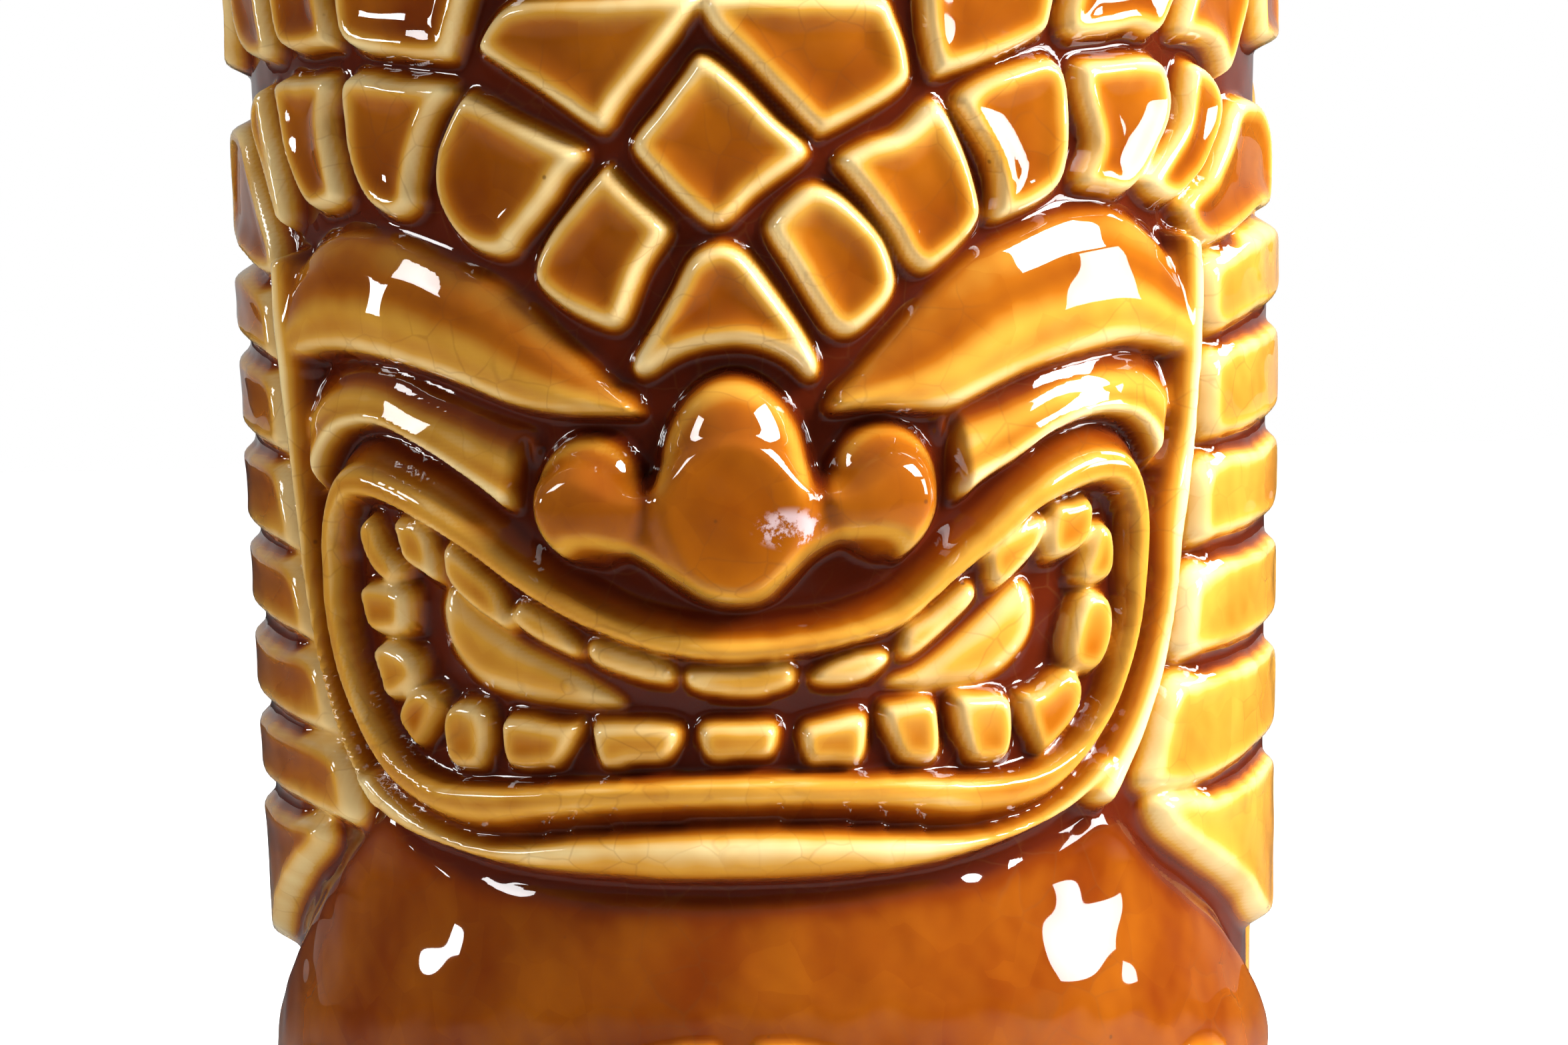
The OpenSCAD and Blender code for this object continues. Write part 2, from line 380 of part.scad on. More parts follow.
// ---- the face ----
module eye_left() color(glaze_brown) band(eye_rows_left, eye_h);
module eye_right() color(glaze_brown) band(eye_rows_right, eye_h);
module cheek_left() color(glaze_gold) band(cheek_rows_left, cheek_h);
module cheek_right() color(glaze_gold) band(cheek_rows_right, cheek_h);
module jaw_left() color(glaze_gold) band(jaw_rows_left, jaw_h, end_h = 0.9);
module jaw_right() color(glaze_gold) band(jaw_rows_right, jaw_h, end_h = 0.9);
module chin() color(glaze_pale) band(chin_rows, jaw_h, end_h = 0.9);
module mouth_frame() color(glaze_pale) band(lip_rows, lip_h, closed = true);
module upper_teeth() color(glaze_pale) for (outline = teeth_up) pad(outline, tooth_h, rim_w = 0.5, hollow = 0);
module lower_teeth() color(glaze_pale) for (outline = teeth_low) pad(outline, tooth_h, rim_w = 0.5, hollow = 0);
module tongue_left() color(glaze_gold) band(tongue_rows_left, tongue_h);
module tongue_right() color(glaze_gold) band(tongue_rows_right, tongue_h);

// A rounded swelling of the wall, width w and height t, standing out by h
module bulb(s, z, w, t, h, sides = 16, steps = 4) {
    points = concat(
        [for (k = [0:steps - 1]) for (i = [0:sides - 1])
            let (up = 90 * k / steps, turn = 360 * i / sides)
            on_wall(s + w / 2 * cos(up) * cos(turn), z + t / 2 * cos(up) * sin(turn), h * sin(up))],
        [on_wall(s, z, h), on_wall(s, z, 0)]);
    top = steps * sides;
    faces = concat(
        [for (k = [0:steps - 2]) for (i = [0:sides - 1])
            let (j = (i + 1) % sides, a = k * sides + i, b = k * sides + j)
            each [[a, a + sides, b + sides], [a, b + sides, b]]],
        [for (i = [0:sides - 1]) let (j = (i + 1) % sides, a = top - sides + i, b = top - sides + j)
            each [[a, top, b], [i, j, top + 1]]]);
    polyhedron(points, faces, convexity = 4);
}

module nose() color(glaze_brown) {
    band(nose_rows, nose_h * 0.5);
    bulb(-9.9, 81.3, 8.8, 9, nose_h * 0.75);
    bulb(11.8, 81.6, 8.6, 9.4, nose_h * 0.75);
    bulb(0.9, 82.2, 11.4, 15, nose_h);
}

// ---- the braids and the hair ----
module braid_left() color(glaze_brown) for (rows = braid_rows_left) band(rows, braid_h, end_h = 0.8);
module braid_right() color(glaze_pale) for (rows = braid_rows_right) band(rows, braid_h, end_h = 0.8);

module back_hair() color(glaze_brown) {
    first = 67;
    pitch = (2 * half_round - 2 * first) / lock_count;
    for (i = [0:lock_count - 1]) {
        s = first + pitch * (i + 0.5);
        band(along([[s, 110, pitch * 0.40], [s, 80, pitch * 0.45], [s, 45, pitch * 0.45], [s, 12, pitch * 0.34]]),
             hair_h);
    }
}

// ---- the body below the chin ----
module chest() color(glaze_brown) band(chest_rows, chest_h, end_h = 0.8);
module arm_right() color(glaze_brown) band(along(arm_path), limb_h);
module arm_left() color(glaze_brown) band(mirrored(along(arm_path)), limb_h);

// Four fingers that reach in to the centre line, the top one highest
module hand(side) for (i = [0:3]) {
    rows = along([[finger_tip[i][0], finger_tip[i][1] - 0.6, 1.5], [10, finger_tip[i][1] + 0.4, 1.45],
                  [4, finger_tip[i][1] + 1.1, 1.4], [1.2, finger_tip[i][1] + 1.2, 1.2]]);
    band(side > 0 ? rows : mirrored(rows), limb_h);
}
module hand_right() color(glaze_gold) hand(1);
module hand_left() color(glaze_gold) hand(-1);

module leg_right() color(glaze_brown) band(along(leg_path), limb_h + 0.4);
module leg_left() color(glaze_brown) band(mirrored(along(leg_path)), limb_h + 0.4);

// A foot with its toes turned to the centre line
module foot(side) {
    pad(side > 0 ? foot_outline : mirrored(foot_outline), limb_h, hollow = 0);
    for (i = [0:3]) {
        toe = upright(12.6 + 3.4 * i, toe_z, 2.9, 4.4);
        pad(side > 0 ? toe : mirrored(toe), limb_h + 0.6, rim_w = 0.9, hollow = 0);
    }
}
module foot_right() color(glaze_gold) foot(1);
module foot_left() color(glaze_gold) foot(-1);

cup_wall();
cup_floor();
foot_ring();
rim_band();
inner_glaze();
crown_row();
headdress_row();
headdress_wings();
brow_diamond();
brow_row_left();
brow_row_right();
brow_triangle();
eye_left();
eye_right();
cheek_left();
cheek_right();
nose();
mouth_frame();
upper_teeth();
lower_teeth();
tongue_left();
tongue_right();
jaw_left();
jaw_right();
chin();
braid_left();
braid_right();
chest();
arm_left();
arm_right();
hand_left();
hand_right();
leg_left();
leg_right();
foot_left();
foot_right();
back_hair();
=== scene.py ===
"""Tiki mug: a glazed stoneware tumbler with a carved figure in relief.

The carving is worked out on the unrolled wall. There s is the distance in
millimetres round from the front centre line, measured at 40 mm radius and
growing to the right as one faces the mug, and z is the height in millimetres
above the table. Every carved shape raises one shared sheet of heights and
leaves its own tone of glaze on it, and the sheet is then cut into the pieces.
"""

import math

import bpy
import numpy as np
from mathutils import Matrix, Vector


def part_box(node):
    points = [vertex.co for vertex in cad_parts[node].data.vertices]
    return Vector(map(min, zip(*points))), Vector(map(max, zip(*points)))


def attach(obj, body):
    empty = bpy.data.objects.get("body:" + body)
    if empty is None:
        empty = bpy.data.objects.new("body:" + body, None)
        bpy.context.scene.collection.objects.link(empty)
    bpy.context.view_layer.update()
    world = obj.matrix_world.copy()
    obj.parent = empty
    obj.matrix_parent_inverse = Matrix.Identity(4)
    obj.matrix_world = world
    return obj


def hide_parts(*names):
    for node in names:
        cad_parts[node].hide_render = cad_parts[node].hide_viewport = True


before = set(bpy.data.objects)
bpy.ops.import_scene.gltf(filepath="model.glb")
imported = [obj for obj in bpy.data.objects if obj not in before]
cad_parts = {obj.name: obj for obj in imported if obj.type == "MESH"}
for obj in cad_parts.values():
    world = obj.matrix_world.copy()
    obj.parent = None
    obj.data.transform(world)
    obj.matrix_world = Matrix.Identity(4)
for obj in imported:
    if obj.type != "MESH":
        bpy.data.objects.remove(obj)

bl_info = {
    "name": "Tiki Mug",
    "version": (1, 0, 0),
    "blender": (4, 5, 0),
    "location": "View3D > Sidebar > Tiki Mug",
    "description": "Builds a glazed tiki mug, its stage and its camera",
    "category": "Add Mesh",
}

MM = 0.001

# ---- sizes that come from the frame, in millimetres ----

FOOT_HIGH = np.array(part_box("foot_ring")[1]) / MM
WALL_HIGH = np.array(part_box("cup_wall")[1]) / MM
RIM_LOW, RIM_HIGH = [np.array(corner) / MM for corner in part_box("rim_band")]
LINER_HIGH = np.array(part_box("inner_glaze")[1]) / MM
FLOOR_LOW, FLOOR_HIGH = [np.array(corner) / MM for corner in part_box("cup_floor")]

CARVE_LOW = float(FOOT_HIGH[2])
CARVE_HIGH = float(RIM_LOW[2])
MUG_HEIGHT = float(RIM_HIGH[2])
RIM_RADIUS = float(RIM_HIGH[0])
WALL_SLOPE = float((WALL_HIGH[0] - FOOT_HIGH[0]) / (CARVE_HIGH - CARVE_LOW))
WALL_FOOT_RADIUS = float(FOOT_HIGH[0]) - WALL_SLOPE * CARVE_LOW
WALL_THICK = float(WALL_HIGH[0] - LINER_HIGH[0])
FLOOR_THICK = float(FLOOR_HIGH[2] - FLOOR_LOW[2])
LINER_THICK = 0.4

# ---- the sheet: a point about every 0.3 mm, thinned away from the face when it is cut into pieces ----

UNROLL_RADIUS = 40.0
ROUND = 2 * math.pi * UNROLL_RADIUS
COLUMNS = 838
ROWS = 461
S_STEP = ROUND / COLUMNS
Z_STEP = (CARVE_HIGH - CARVE_LOW) / (ROWS - 1)
FINE_HALF_WIDTH = 64.0
FINE_LOW = 40.0
FINE_HIGH = 119.0
COARSE_STEP = 3
# How far under the plain wall the inner face of each piece lies
TILE_DEPTH = 0.35


def ground(z):
    """Radius of the plain wall between the carvings at height z."""
    return WALL_FOOT_RADIUS + WALL_SLOPE * z


# ---- outlines of the blocks, each a ring of (s, z) ----

WING_LEFT = [(-17.5, 113.5), (-14.8, 116.2), (-8, 116.4), (-0.8, 116.4), (-1.2, 115.3), (-3.4, 112.6),
             (-6.6, 109), (-7.8, 107.3), (-9, 107.6), (-13, 110.3), (-17, 112.7)]
WING_RIGHT = [(0, 116.4), (6, 116.2), (12, 116), (13.3, 114.5), (14.2, 111.7), (13.7, 109.6),
              (8.2, 106.7), (7.2, 106.9), (5, 109.1), (2.4, 111.9), (0, 114.4)]
HEADDRESS_LEFT = [
    [(-30.2, 114), (-31.2, 118), (-31, 123), (-29, 124), (-19, 124), (-17.4, 122.5), (-17.6, 118.5),
     (-19.6, 113.4), (-20.5, 112.5), (-25, 112.9)],
    [(-38.7, 114), (-40.4, 118), (-40.6, 122.6), (-39, 124), (-34.5, 124), (-32.9, 122.8),
     (-32.6, 118), (-31.8, 114.2), (-33, 113.8)],
    [(-47.4, 114.4), (-50, 118), (-50.4, 122.6), (-48.6, 124), (-44, 124), (-42.4, 122.8),
     (-42, 118), (-40.9, 113.9), (-43.5, 113.2)]]
HEADDRESS_RIGHT = [
    [(16.2, 110.8), (15.4, 114), (15.2, 118.5), (15.4, 122.5), (17, 124), (24.6, 124), (26.4, 122.6),
     (26.3, 118), (25.6, 114.5), (24.8, 113.2), (21, 111.7), (17, 110.6)],
    [(26.9, 113.5), (27.6, 118), (28, 122.6), (29.6, 124), (36.6, 124), (38.6, 122.6), (39, 117.5),
     (37.6, 115), (36.4, 113.5), (35.4, 113.2), (33.5, 113.6), (30.5, 113.2)],
    [(38.6, 114), (40, 117.5), (40.4, 122.6), (42, 124), (48, 124), (50.2, 122.6), (50.2, 117),
     (48, 113), (46.2, 110.6), (45.2, 110.4), (44, 112), (42, 112.9), (39, 113.2)]]
DIAMOND = [(-0.6, 112.2), (2, 110.3), (4.5, 107.7), (6.2, 106.2), (6.7, 105.3), (6, 104.5), (3, 102.5),
           (1, 100.7), (0, 100.4), (-1, 100.8), (-3, 102.7), (-5, 104.8), (-5.8, 106), (-5.3, 107),
           (-4, 108.4), (-2, 110.8)]
BROW_LEFT = [
    [(-8, 104.5), (-10.5, 102), (-12.5, 99.8), (-13.6, 97.7), (-13.2, 96.2), (-11, 94.6), (-8.5, 93.5),
     (-7.4, 93.4), (-6.6, 94.4), (-5.3, 97.3), (-3.5, 99.8), (-3.7, 100.7), (-5.5, 102.3), (-7.2, 104)],
    [(-9.6, 105.6), (-11, 104), (-12.5, 102), (-14.9, 99.6), (-15.6, 98.8), (-17.2, 98.7), (-19, 99.3),
     (-20.6, 100.8), (-21.7, 103), (-21.6, 105.6), (-20.7, 107.6), (-19, 109.9), (-17.6, 109.6),
     (-15, 108.3), (-12, 106.9)],
    [(-30.3, 111.7), (-25, 111.3), (-20, 110.6), (-21.3, 108.9), (-23, 106), (-23.7, 103.8),
     (-23.9, 102.3), (-25.9, 101.5), (-28.5, 102.5), (-30.2, 105.3), (-30.7, 108.4)],
    [(-40.1, 111.6), (-36, 111.8), (-32.2, 111.5), (-32.9, 108.6), (-32.2, 105.5), (-31.7, 103),
     (-33.5, 102.2), (-36, 102.4), (-38.7, 105.6), (-39.7, 108.8)],
    [(-43, 111.2), (-45, 110.4), (-45.5, 108.3), (-43, 104.5), (-40.8, 101), (-39.6, 102.2),
     (-40.5, 105), (-41.8, 107.8)],
    [(-42, 97.6), (-41.8, 99.3), (-43.5, 102), (-46.5, 105.8), (-49, 108.5), (-54, 108.5), (-57, 105),
     (-57, 100.5), (-50, 98.6), (-45, 97.5)]]
BROW_RIGHT = [
    [(4.1, 100.9), (5.6, 102.3), (7, 103), (8.5, 102.6), (10, 101.5), (12, 99.3), (12.9, 97),
     (12.8, 95.3), (11.5, 93.8), (9.6, 92.5), (8.2, 92.9), (7.2, 94.2), (5.5, 97), (3.8, 99.8)],
    [(9, 104.8), (11, 105.9), (13.3, 106.6), (15.8, 108.6), (16.8, 108.2), (17.8, 106.5), (18.9, 104),
     (19.6, 101.5), (19.5, 100.3), (18.5, 99), (16.8, 97.6), (15.2, 96.8), (13.8, 97.7), (12.8, 99.5),
     (11, 102), (9.3, 104)],
    [(17.9, 108.8), (19.5, 110), (22.3, 111), (25.3, 111.6), (26.7, 110.7), (27.2, 108.5),
     (27.2, 105.5), (26.6, 103), (25, 101.6), (21.3, 100.3), (20.6, 100.6), (20.9, 102),
     (20.3, 104.5), (18.3, 107.6)],
    [(28, 110), (28.4, 111.2), (31, 111.5), (35, 111.7), (36.8, 111.2), (37.7, 109), (37.4, 107),
     (36, 104.9), (34.3, 102.9), (32.6, 101.9), (30.5, 102.1), (28.1, 102.8), (29.3, 105.5),
     (28.3, 108.5)],
    [(39.7, 109.8), (40.3, 111.2), (42, 111.1), (43.9, 110), (44.8, 108.5), (44.2, 106.3),
     (42, 103.6), (40, 102.2), (38.5, 101.4), (37, 101.3), (35.2, 102.1), (34.9, 103), (37, 105),
     (39, 107)],
    [(39.2, 101), (41, 102.3), (43, 103.3), (45.5, 105.8), (48, 108.5), (53, 108.5), (57, 106),
     (57, 101), (52, 100.2), (46, 98.5), (43, 98), (41, 98.5), (39.5, 100)]]
TRIANGLE = [(0, 99), (1.3, 98.8), (2.4, 98), (4, 95.9), (5.8, 93.3), (6.9, 91.2), (7.1, 90.1),
            (6.5, 89.6), (5, 90.9), (3, 91.8), (1, 92.1), (-1.5, 91.8), (-3.5, 91.1), (-5.4, 90),
            (-6.3, 90.4), (-6, 91.4), (-4.5, 93.6), (-3, 96), (-1.8, 98.1)]

# ---- folds: two edges each, from end to end ----

EYE_LEFT_TOP = [(-5.6, 87.9), (-8.5, 90.2), (-12, 93.2), (-15, 95.8), (-19, 97.8), (-23, 99.2),
                (-28, 100.6), (-33, 100.8), (-37, 99.3), (-41, 96)]
EYE_LEFT_LOW = [(-5.6, 87.2), (-9, 87.1), (-13, 87.3), (-16.5, 88), (-20, 89.2), (-24, 90.3),
                (-28.5, 91.2), (-33, 91.6), (-36.5, 91.4), (-41, 90.6)]
EYE_RIGHT_TOP = [(7.6, 87.9), (10.5, 90.8), (13, 93.3), (15.3, 95.6), (18.5, 98), (22, 99.5),
                 (27, 101), (32, 101.1), (36.5, 99), (40.8, 95)]
EYE_RIGHT_LOW = [(7.6, 87.1), (10.5, 87.2), (14, 86.9), (17, 86.9), (20.5, 88.2), (24, 89.4),
                 (28.5, 90.4), (33, 90.9), (37, 90.4), (40.8, 89)]
CHEEK_LEFT_TOP = [(-15.3, 85.2), (-18, 86), (-21, 87), (-24.5, 88.2), (-27.5, 89.3), (-30.5, 89.8),
                  (-33.5, 89.6), (-36, 88.9), (-38, 87.6)]
CHEEK_LEFT_LOW = [(-16.2, 80), (-18.5, 81.8), (-21.5, 83.6), (-25, 85.3), (-28, 86.3), (-30.8, 86.3),
                  (-33, 85.6), (-35, 83.6), (-36.4, 80.4)]
CHEEK_RIGHT_TOP = [(17.3, 86.1), (20, 87), (23, 88.1), (26, 89.1), (30, 89.7), (33.2, 89.8),
                   (36, 89.2), (38.2, 87.8)]
CHEEK_RIGHT_LOW = [(17.3, 80), (19.5, 81.7), (22.3, 83.2), (25.3, 84.9), (28.5, 85.9), (31.5, 85.9),
                   (33.8, 84.8), (35.6, 81.6)]
JAW_LEFT_OUT = [(-41, 99), (-41.6, 95.5), (-41.3, 92), (-40.6, 89), (-39.8, 85.5), (-38.9, 80),
                (-38.3, 76), (-37, 70), (-34.8, 65), (-32, 60.6), (-30.2, 58.4)]
JAW_LEFT_IN = [(-38.4, 99.4), (-37.8, 95.5), (-37.2, 92), (-37.3, 89), (-37.3, 85.8), (-36.8, 80),
               (-36.6, 75.6), (-35.7, 69.6), (-33.5, 65.2), (-30.3, 60.8), (-27.8, 59)]
JAW_RIGHT_OUT = [(40.6, 99), (41.4, 95.5), (41.2, 92), (40.8, 89), (40.2, 85), (39.8, 80), (38.8, 76.6),
                 (37.6, 71), (35.6, 65.4), (32.6, 60), (30.8, 57.4)]
JAW_RIGHT_IN = [(38, 99.4), (37.8, 95.5), (37.6, 92), (37.7, 89), (37.2, 85), (35.3, 80.2), (35, 75),
                (34, 70), (32, 65.3), (29, 61.3), (27, 59.4)]
CHIN_TOP = [(-30.4, 62), (-28.6, 60.6), (-25.5, 58.9), (-21.5, 57.4), (-17, 57), (-11, 57.7), (-5, 58.1),
            (1, 58.2), (7, 58), (12, 57.5), (17, 57.1), (21.5, 57.6), (25.5, 59), (29.4, 62)]
CHIN_LOW = [(-33, 60.8), (-29.6, 58.2), (-27, 57.1), (-23, 56.2), (-18, 55.2), (-12, 54.6), (-5, 54.2),
            (1, 54.1), (7, 54.2), (13, 54.6), (18, 55.4), (23, 56.8), (27.5, 58.6), (32.4, 61.8)]

# ---- the mouth and the nose, each a ring of (s, z) ----

LIP_OUT = [(0.5, 71.6), (5, 71.9), (9, 72.5), (12.5, 73.7), (16, 76.6), (19.5, 79.3), (23.5, 82.2),
           (28, 84.1), (32, 83.8), (34, 80.8), (34.2, 76), (33.3, 71), (31.3, 66.2), (28, 61.9),
           (24.3, 59.2), (19, 58.2), (13, 58.9), (7, 59.3), (0, 59.4), (-7, 59.2), (-13, 58.7),
           (-19.5, 57.9), (-24.6, 59), (-28.8, 61.3), (-32, 65.2), (-34.3, 69.6), (-35.2, 74.5),
           (-35, 79), (-33.4, 82.8), (-30.5, 84.3), (-26.5, 83.4), (-22.5, 81.9), (-19, 79.9),
           (-15.5, 77.4), (-12, 75.2), (-8, 73.3), (-4, 72.1)]
LIP_IN = [(0.5, 69.8), (5, 70.1), (9.5, 70.9), (13, 72), (17, 75), (20.5, 77.4), (24, 79.8),
          (28.5, 81.2), (31, 80.8), (32, 78.5), (32, 75.5), (31.4, 70.5), (29.6, 66.2), (26.8, 63.2),
          (23.2, 61.5), (18.5, 61.1), (13, 61.4), (7, 61.6), (0, 61.7), (-7, 61.5), (-13, 61.2),
          (-18.5, 61), (-23.4, 61.3), (-27, 63), (-29.8, 66), (-31.6, 69.6), (-32.7, 74),
          (-32.6, 78.5), (-31.6, 80.8), (-29.6, 81.3), (-26.6, 80.7), (-23.2, 79.3), (-19.6, 77.5),
          (-16, 75.2), (-12.2, 73.1), (-8, 71.4), (-4, 70.3)]
UPPER_TEETH = [
    [(-2.6, 69.3), (-2.9, 68.2), (-1, 67.6), (2, 67.4), (4.6, 68), (4.9, 68.8), (4.4, 69.5), (1, 69.2)],
    [(-10, 71.3), (-10.2, 70), (-8, 69.1), (-5.5, 68.5), (-4.1, 68.5), (-4.4, 69.7), (-7, 70.5)],
    [(-15.8, 74), (-16.4, 72.9), (-15.3, 71.9), (-13, 70.8), (-11.3, 70.3), (-11.6, 71.6), (-14, 73.3)],
    [(-22, 78.2), (-22.2, 76), (-21, 74.5), (-18.5, 72.9), (-16.7, 72.3), (-17.6, 75), (-19, 76.2)],
    [(-27, 79.9), (-26.7, 78.2), (-26.2, 76.9), (-24.6, 76.1), (-23.2, 75.7), (-23.9, 79.2)],
    [(-29.6, 80), (-28.6, 78), (-26.8, 76.2), (-27.8, 75.3), (-29.5, 76), (-30.8, 77.8), (-31, 79.3)],
    [(-31, 75), (-31, 73), (-30.3, 71.8), (-28.5, 71.6), (-26.8, 71.9), (-26.3, 73.2), (-26.6, 74.8)],
    [(-30.1, 70.3), (-28.5, 70.9), (-26.3, 70.2), (-25.4, 69), (-26, 67.8), (-28.6, 66.9), (-29.4, 68.3)],
    [(6.2, 68.6), (7.8, 69.6), (10.5, 70.2), (12, 69.7), (10, 68.3), (7, 68.1)],
    [(12.8, 70.2), (13.3, 71.6), (15, 72.6), (18, 74.6), (18.6, 73.5), (15, 70.6), (13.5, 69.8)],
    [(19.7, 76.8), (21.5, 78.2), (24.3, 79.2), (24.2, 77.3), (22, 75.2), (20.3, 74.4)],
    [(25.2, 79.6), (27, 80.1), (28.8, 80.2), (29, 78.6), (28.4, 77.2), (27, 76.4), (25, 76.4)],
    [(29.4, 78.4), (30.8, 78), (31.1, 76), (30.6, 74.6), (29.3, 74.2), (27.8, 74.7), (28.6, 76.4)],
    [(28, 73.2), (30.2, 73.3), (30.9, 72), (30.7, 70), (29.8, 68.4), (28.5, 67.9), (26.7, 69)]]
LOWER_TEETH = [
    [(-27.8, 65.6), (-26.8, 67.3), (-25, 68), (-23.3, 67.2), (-23.6, 65.8), (-25.5, 63.4), (-26.9, 64.2)],
    [(-23.2, 65.3), (-22.5, 66.7), (-21, 67), (-19.3, 66.4), (-18.9, 64.5), (-19.3, 62.5), (-20.3, 62),
     (-22.3, 62.1), (-23, 63)],
    [(-17.9, 65.5), (-16.5, 66), (-13, 65.5), (-11.3, 65.4), (-12.7, 62.7), (-14, 62.2), (-16.3, 62.1),
     (-17.6, 62.6)],
    [(-10.5, 65.2), (-9.5, 65.6), (-3.8, 65.3), (-4.4, 62.9), (-7, 62.6), (-9.6, 62.3)],
    [(-2.2, 65.3), (0.8, 65.5), (3.6, 65.3), (3.2, 63), (0.8, 62.8), (-1.7, 62.9)],
    [(5.3, 64.9), (7, 65.5), (9.7, 65.9), (10.4, 65.2), (9.8, 62.3), (7.5, 62.3), (5.7, 62.5)],
    [(11.3, 66), (13, 66.6), (15.4, 66.6), (15.9, 65), (15.9, 63), (15.3, 62.1), (13.2, 62.2), (12.3, 63)],
    [(16.9, 66.5), (19, 66.9), (21.5, 66.6), (21.9, 64.8), (21.7, 62.9), (20.9, 61.9), (18.5, 61.9),
     (17.7, 62.9)],
    [(22.4, 66.2), (24, 67), (26.4, 68.2), (27.9, 67.6), (28.1, 66), (27.2, 64.3), (24.5, 62.2),
     (23.6, 62.6)]]
TONGUE_LEFT = [(-23.4, 74.6), (-23.8, 73), (-23, 70.6), (-20.6, 68.3), (-17, 67.2), (-13.5, 66.7),
               (-10, 66.5), (-8, 66.8), (-10.5, 68.6), (-13, 69.8), (-16, 71), (-19, 72.6),
               (-21.6, 74.4), (-22.6, 75.2)]
TONGUE_RIGHT = [(12, 67.7), (12.4, 68.4), (14.4, 69), (16.6, 70.3), (18.8, 71.8), (21.4, 73.8), (23.2, 74.8),
                (24.3, 73.4), (24.2, 71), (22.6, 69.1), (20.4, 67.8), (18, 67.4), (15, 67.2)]
NOSE_WING = [(-14.3, 80.5), (-13.6, 78.3), (-12.2, 76.9), (-11.2, 76.7), (-10, 77.4), (-8, 77.1), (-6, 76.2),
             (-4, 74.9), (-1.5, 73.5), (1, 73.1), (3.2, 73.5), (5, 74.9), (7, 76.7), (9.5, 77.7),
             (11.6, 77.6), (12.2, 76.6), (13, 76.1), (14.3, 77.2), (15.4, 78.8), (15.9, 81), (15, 84),
             (12, 85), (8, 83), (5, 85), (1, 86), (-3, 85), (-6, 83), (-10, 84.5), (-13.6, 83)]

# ---- the braids, from the top down ----

BRAID_LEFT = [
    [(-42.8, 91.3), (-42.9, 93.5), (-44.5, 96), (-50, 97.4), (-60, 97.8), (-62, 96), (-61, 94), (-52, 92.6),
     (-46, 91.8)],
    [(-42.4, 84.8), (-42.3, 87.5), (-44, 90), (-50, 91), (-60, 91.8), (-62, 90), (-61, 87), (-51, 85.5),
     (-46, 84.9)],
    [(-41, 77.5), (-41.4, 80.5), (-43.8, 83.4), (-50, 84.2), (-60, 84.6), (-62, 82), (-61, 79.4), (-50, 78.3),
     (-45, 77.8)],
    [(-39.3, 71), (-39.8, 74), (-42, 76.2), (-48, 76.9), (-60, 77.6), (-62, 75), (-61, 73), (-50, 72),
     (-43, 71.2)],
    [(-36.4, 64.3), (-36.8, 67), (-39, 69.4), (-46, 69.9), (-60, 71), (-62, 69), (-61, 66.6), (-46, 65),
     (-40, 64.3)],
    [(-34.2, 57.8), (-34.5, 60.5), (-36.5, 62.7), (-44, 63.6), (-60, 64.4), (-62, 62), (-61, 60.2),
     (-44, 58.7), (-38, 58)],
    [(-40, 55.4), (-39.4, 56.6), (-41, 57.2), (-46, 57.3), (-60, 58), (-62, 55), (-61, 47.4), (-56, 47.4),
     (-50, 50.4), (-45, 53)]]
BRAID_RIGHT = [
    [(42.6, 94), (43, 96.6), (47, 97.8), (52, 98.9), (60, 99.4), (62, 97), (60.5, 94), (52, 93), (47, 92.2),
     (44.4, 91.8), (43, 92.6)],
    [(42.8, 86.5), (43.1, 89.6), (46.5, 90.8), (52, 91.4), (60, 92), (62, 89), (60.5, 85.6), (52, 84.6),
     (46.5, 84.1), (43.4, 84.3)],
    [(41.3, 78.6), (41.8, 81.6), (45, 82.8), (52, 83), (60, 83.8), (62, 81), (60.5, 78.2), (52, 77.2),
     (45, 76.7), (41.8, 76.7)],
    [(39.4, 70.4), (40.3, 73.8), (44, 74.9), (52, 75.4), (60, 76), (62, 73), (60.5, 70.2), (52, 69),
     (43, 68.4), (39.6, 68.5)],
    [(35.6, 61.2), (37.7, 66), (42, 66.7), (52, 67.4), (60, 68), (62, 65), (60.5, 61.6), (52, 60.4),
     (42, 58.9), (35.4, 59.2)],
    [(37.6, 55.8), (36.2, 57.6), (38, 58.3), (43, 57.8), (50, 58.4), (60, 59.4), (62, 55), (61, 47.6),
     (56, 47.6), (50, 50.4), (45, 52.4), (41, 54)]]

# ---- the chest, a ring of (s, z), and the limbs, paths of (s, z, half width) ----

CHEST_TOP = [(-57, 36), (-58, 41), (-49, 48), (-40, 54), (-32, 59),
             (-27, 56.6), (-20, 54.8), (-12, 53.8), (-4, 53.4), (4, 53.4), (12, 53.9), (20, 54.9),
             (27, 56.6), (32, 58), (38, 53.5), (48, 48.5), (58, 41), (57, 36)]
CHEST_LOW = [(-48, 28), (-42, 24), (-35, 22), (-24, 18), (-10, 16), (10, 16), (24, 18), (35, 22),
             (42, 24), (48, 28)]
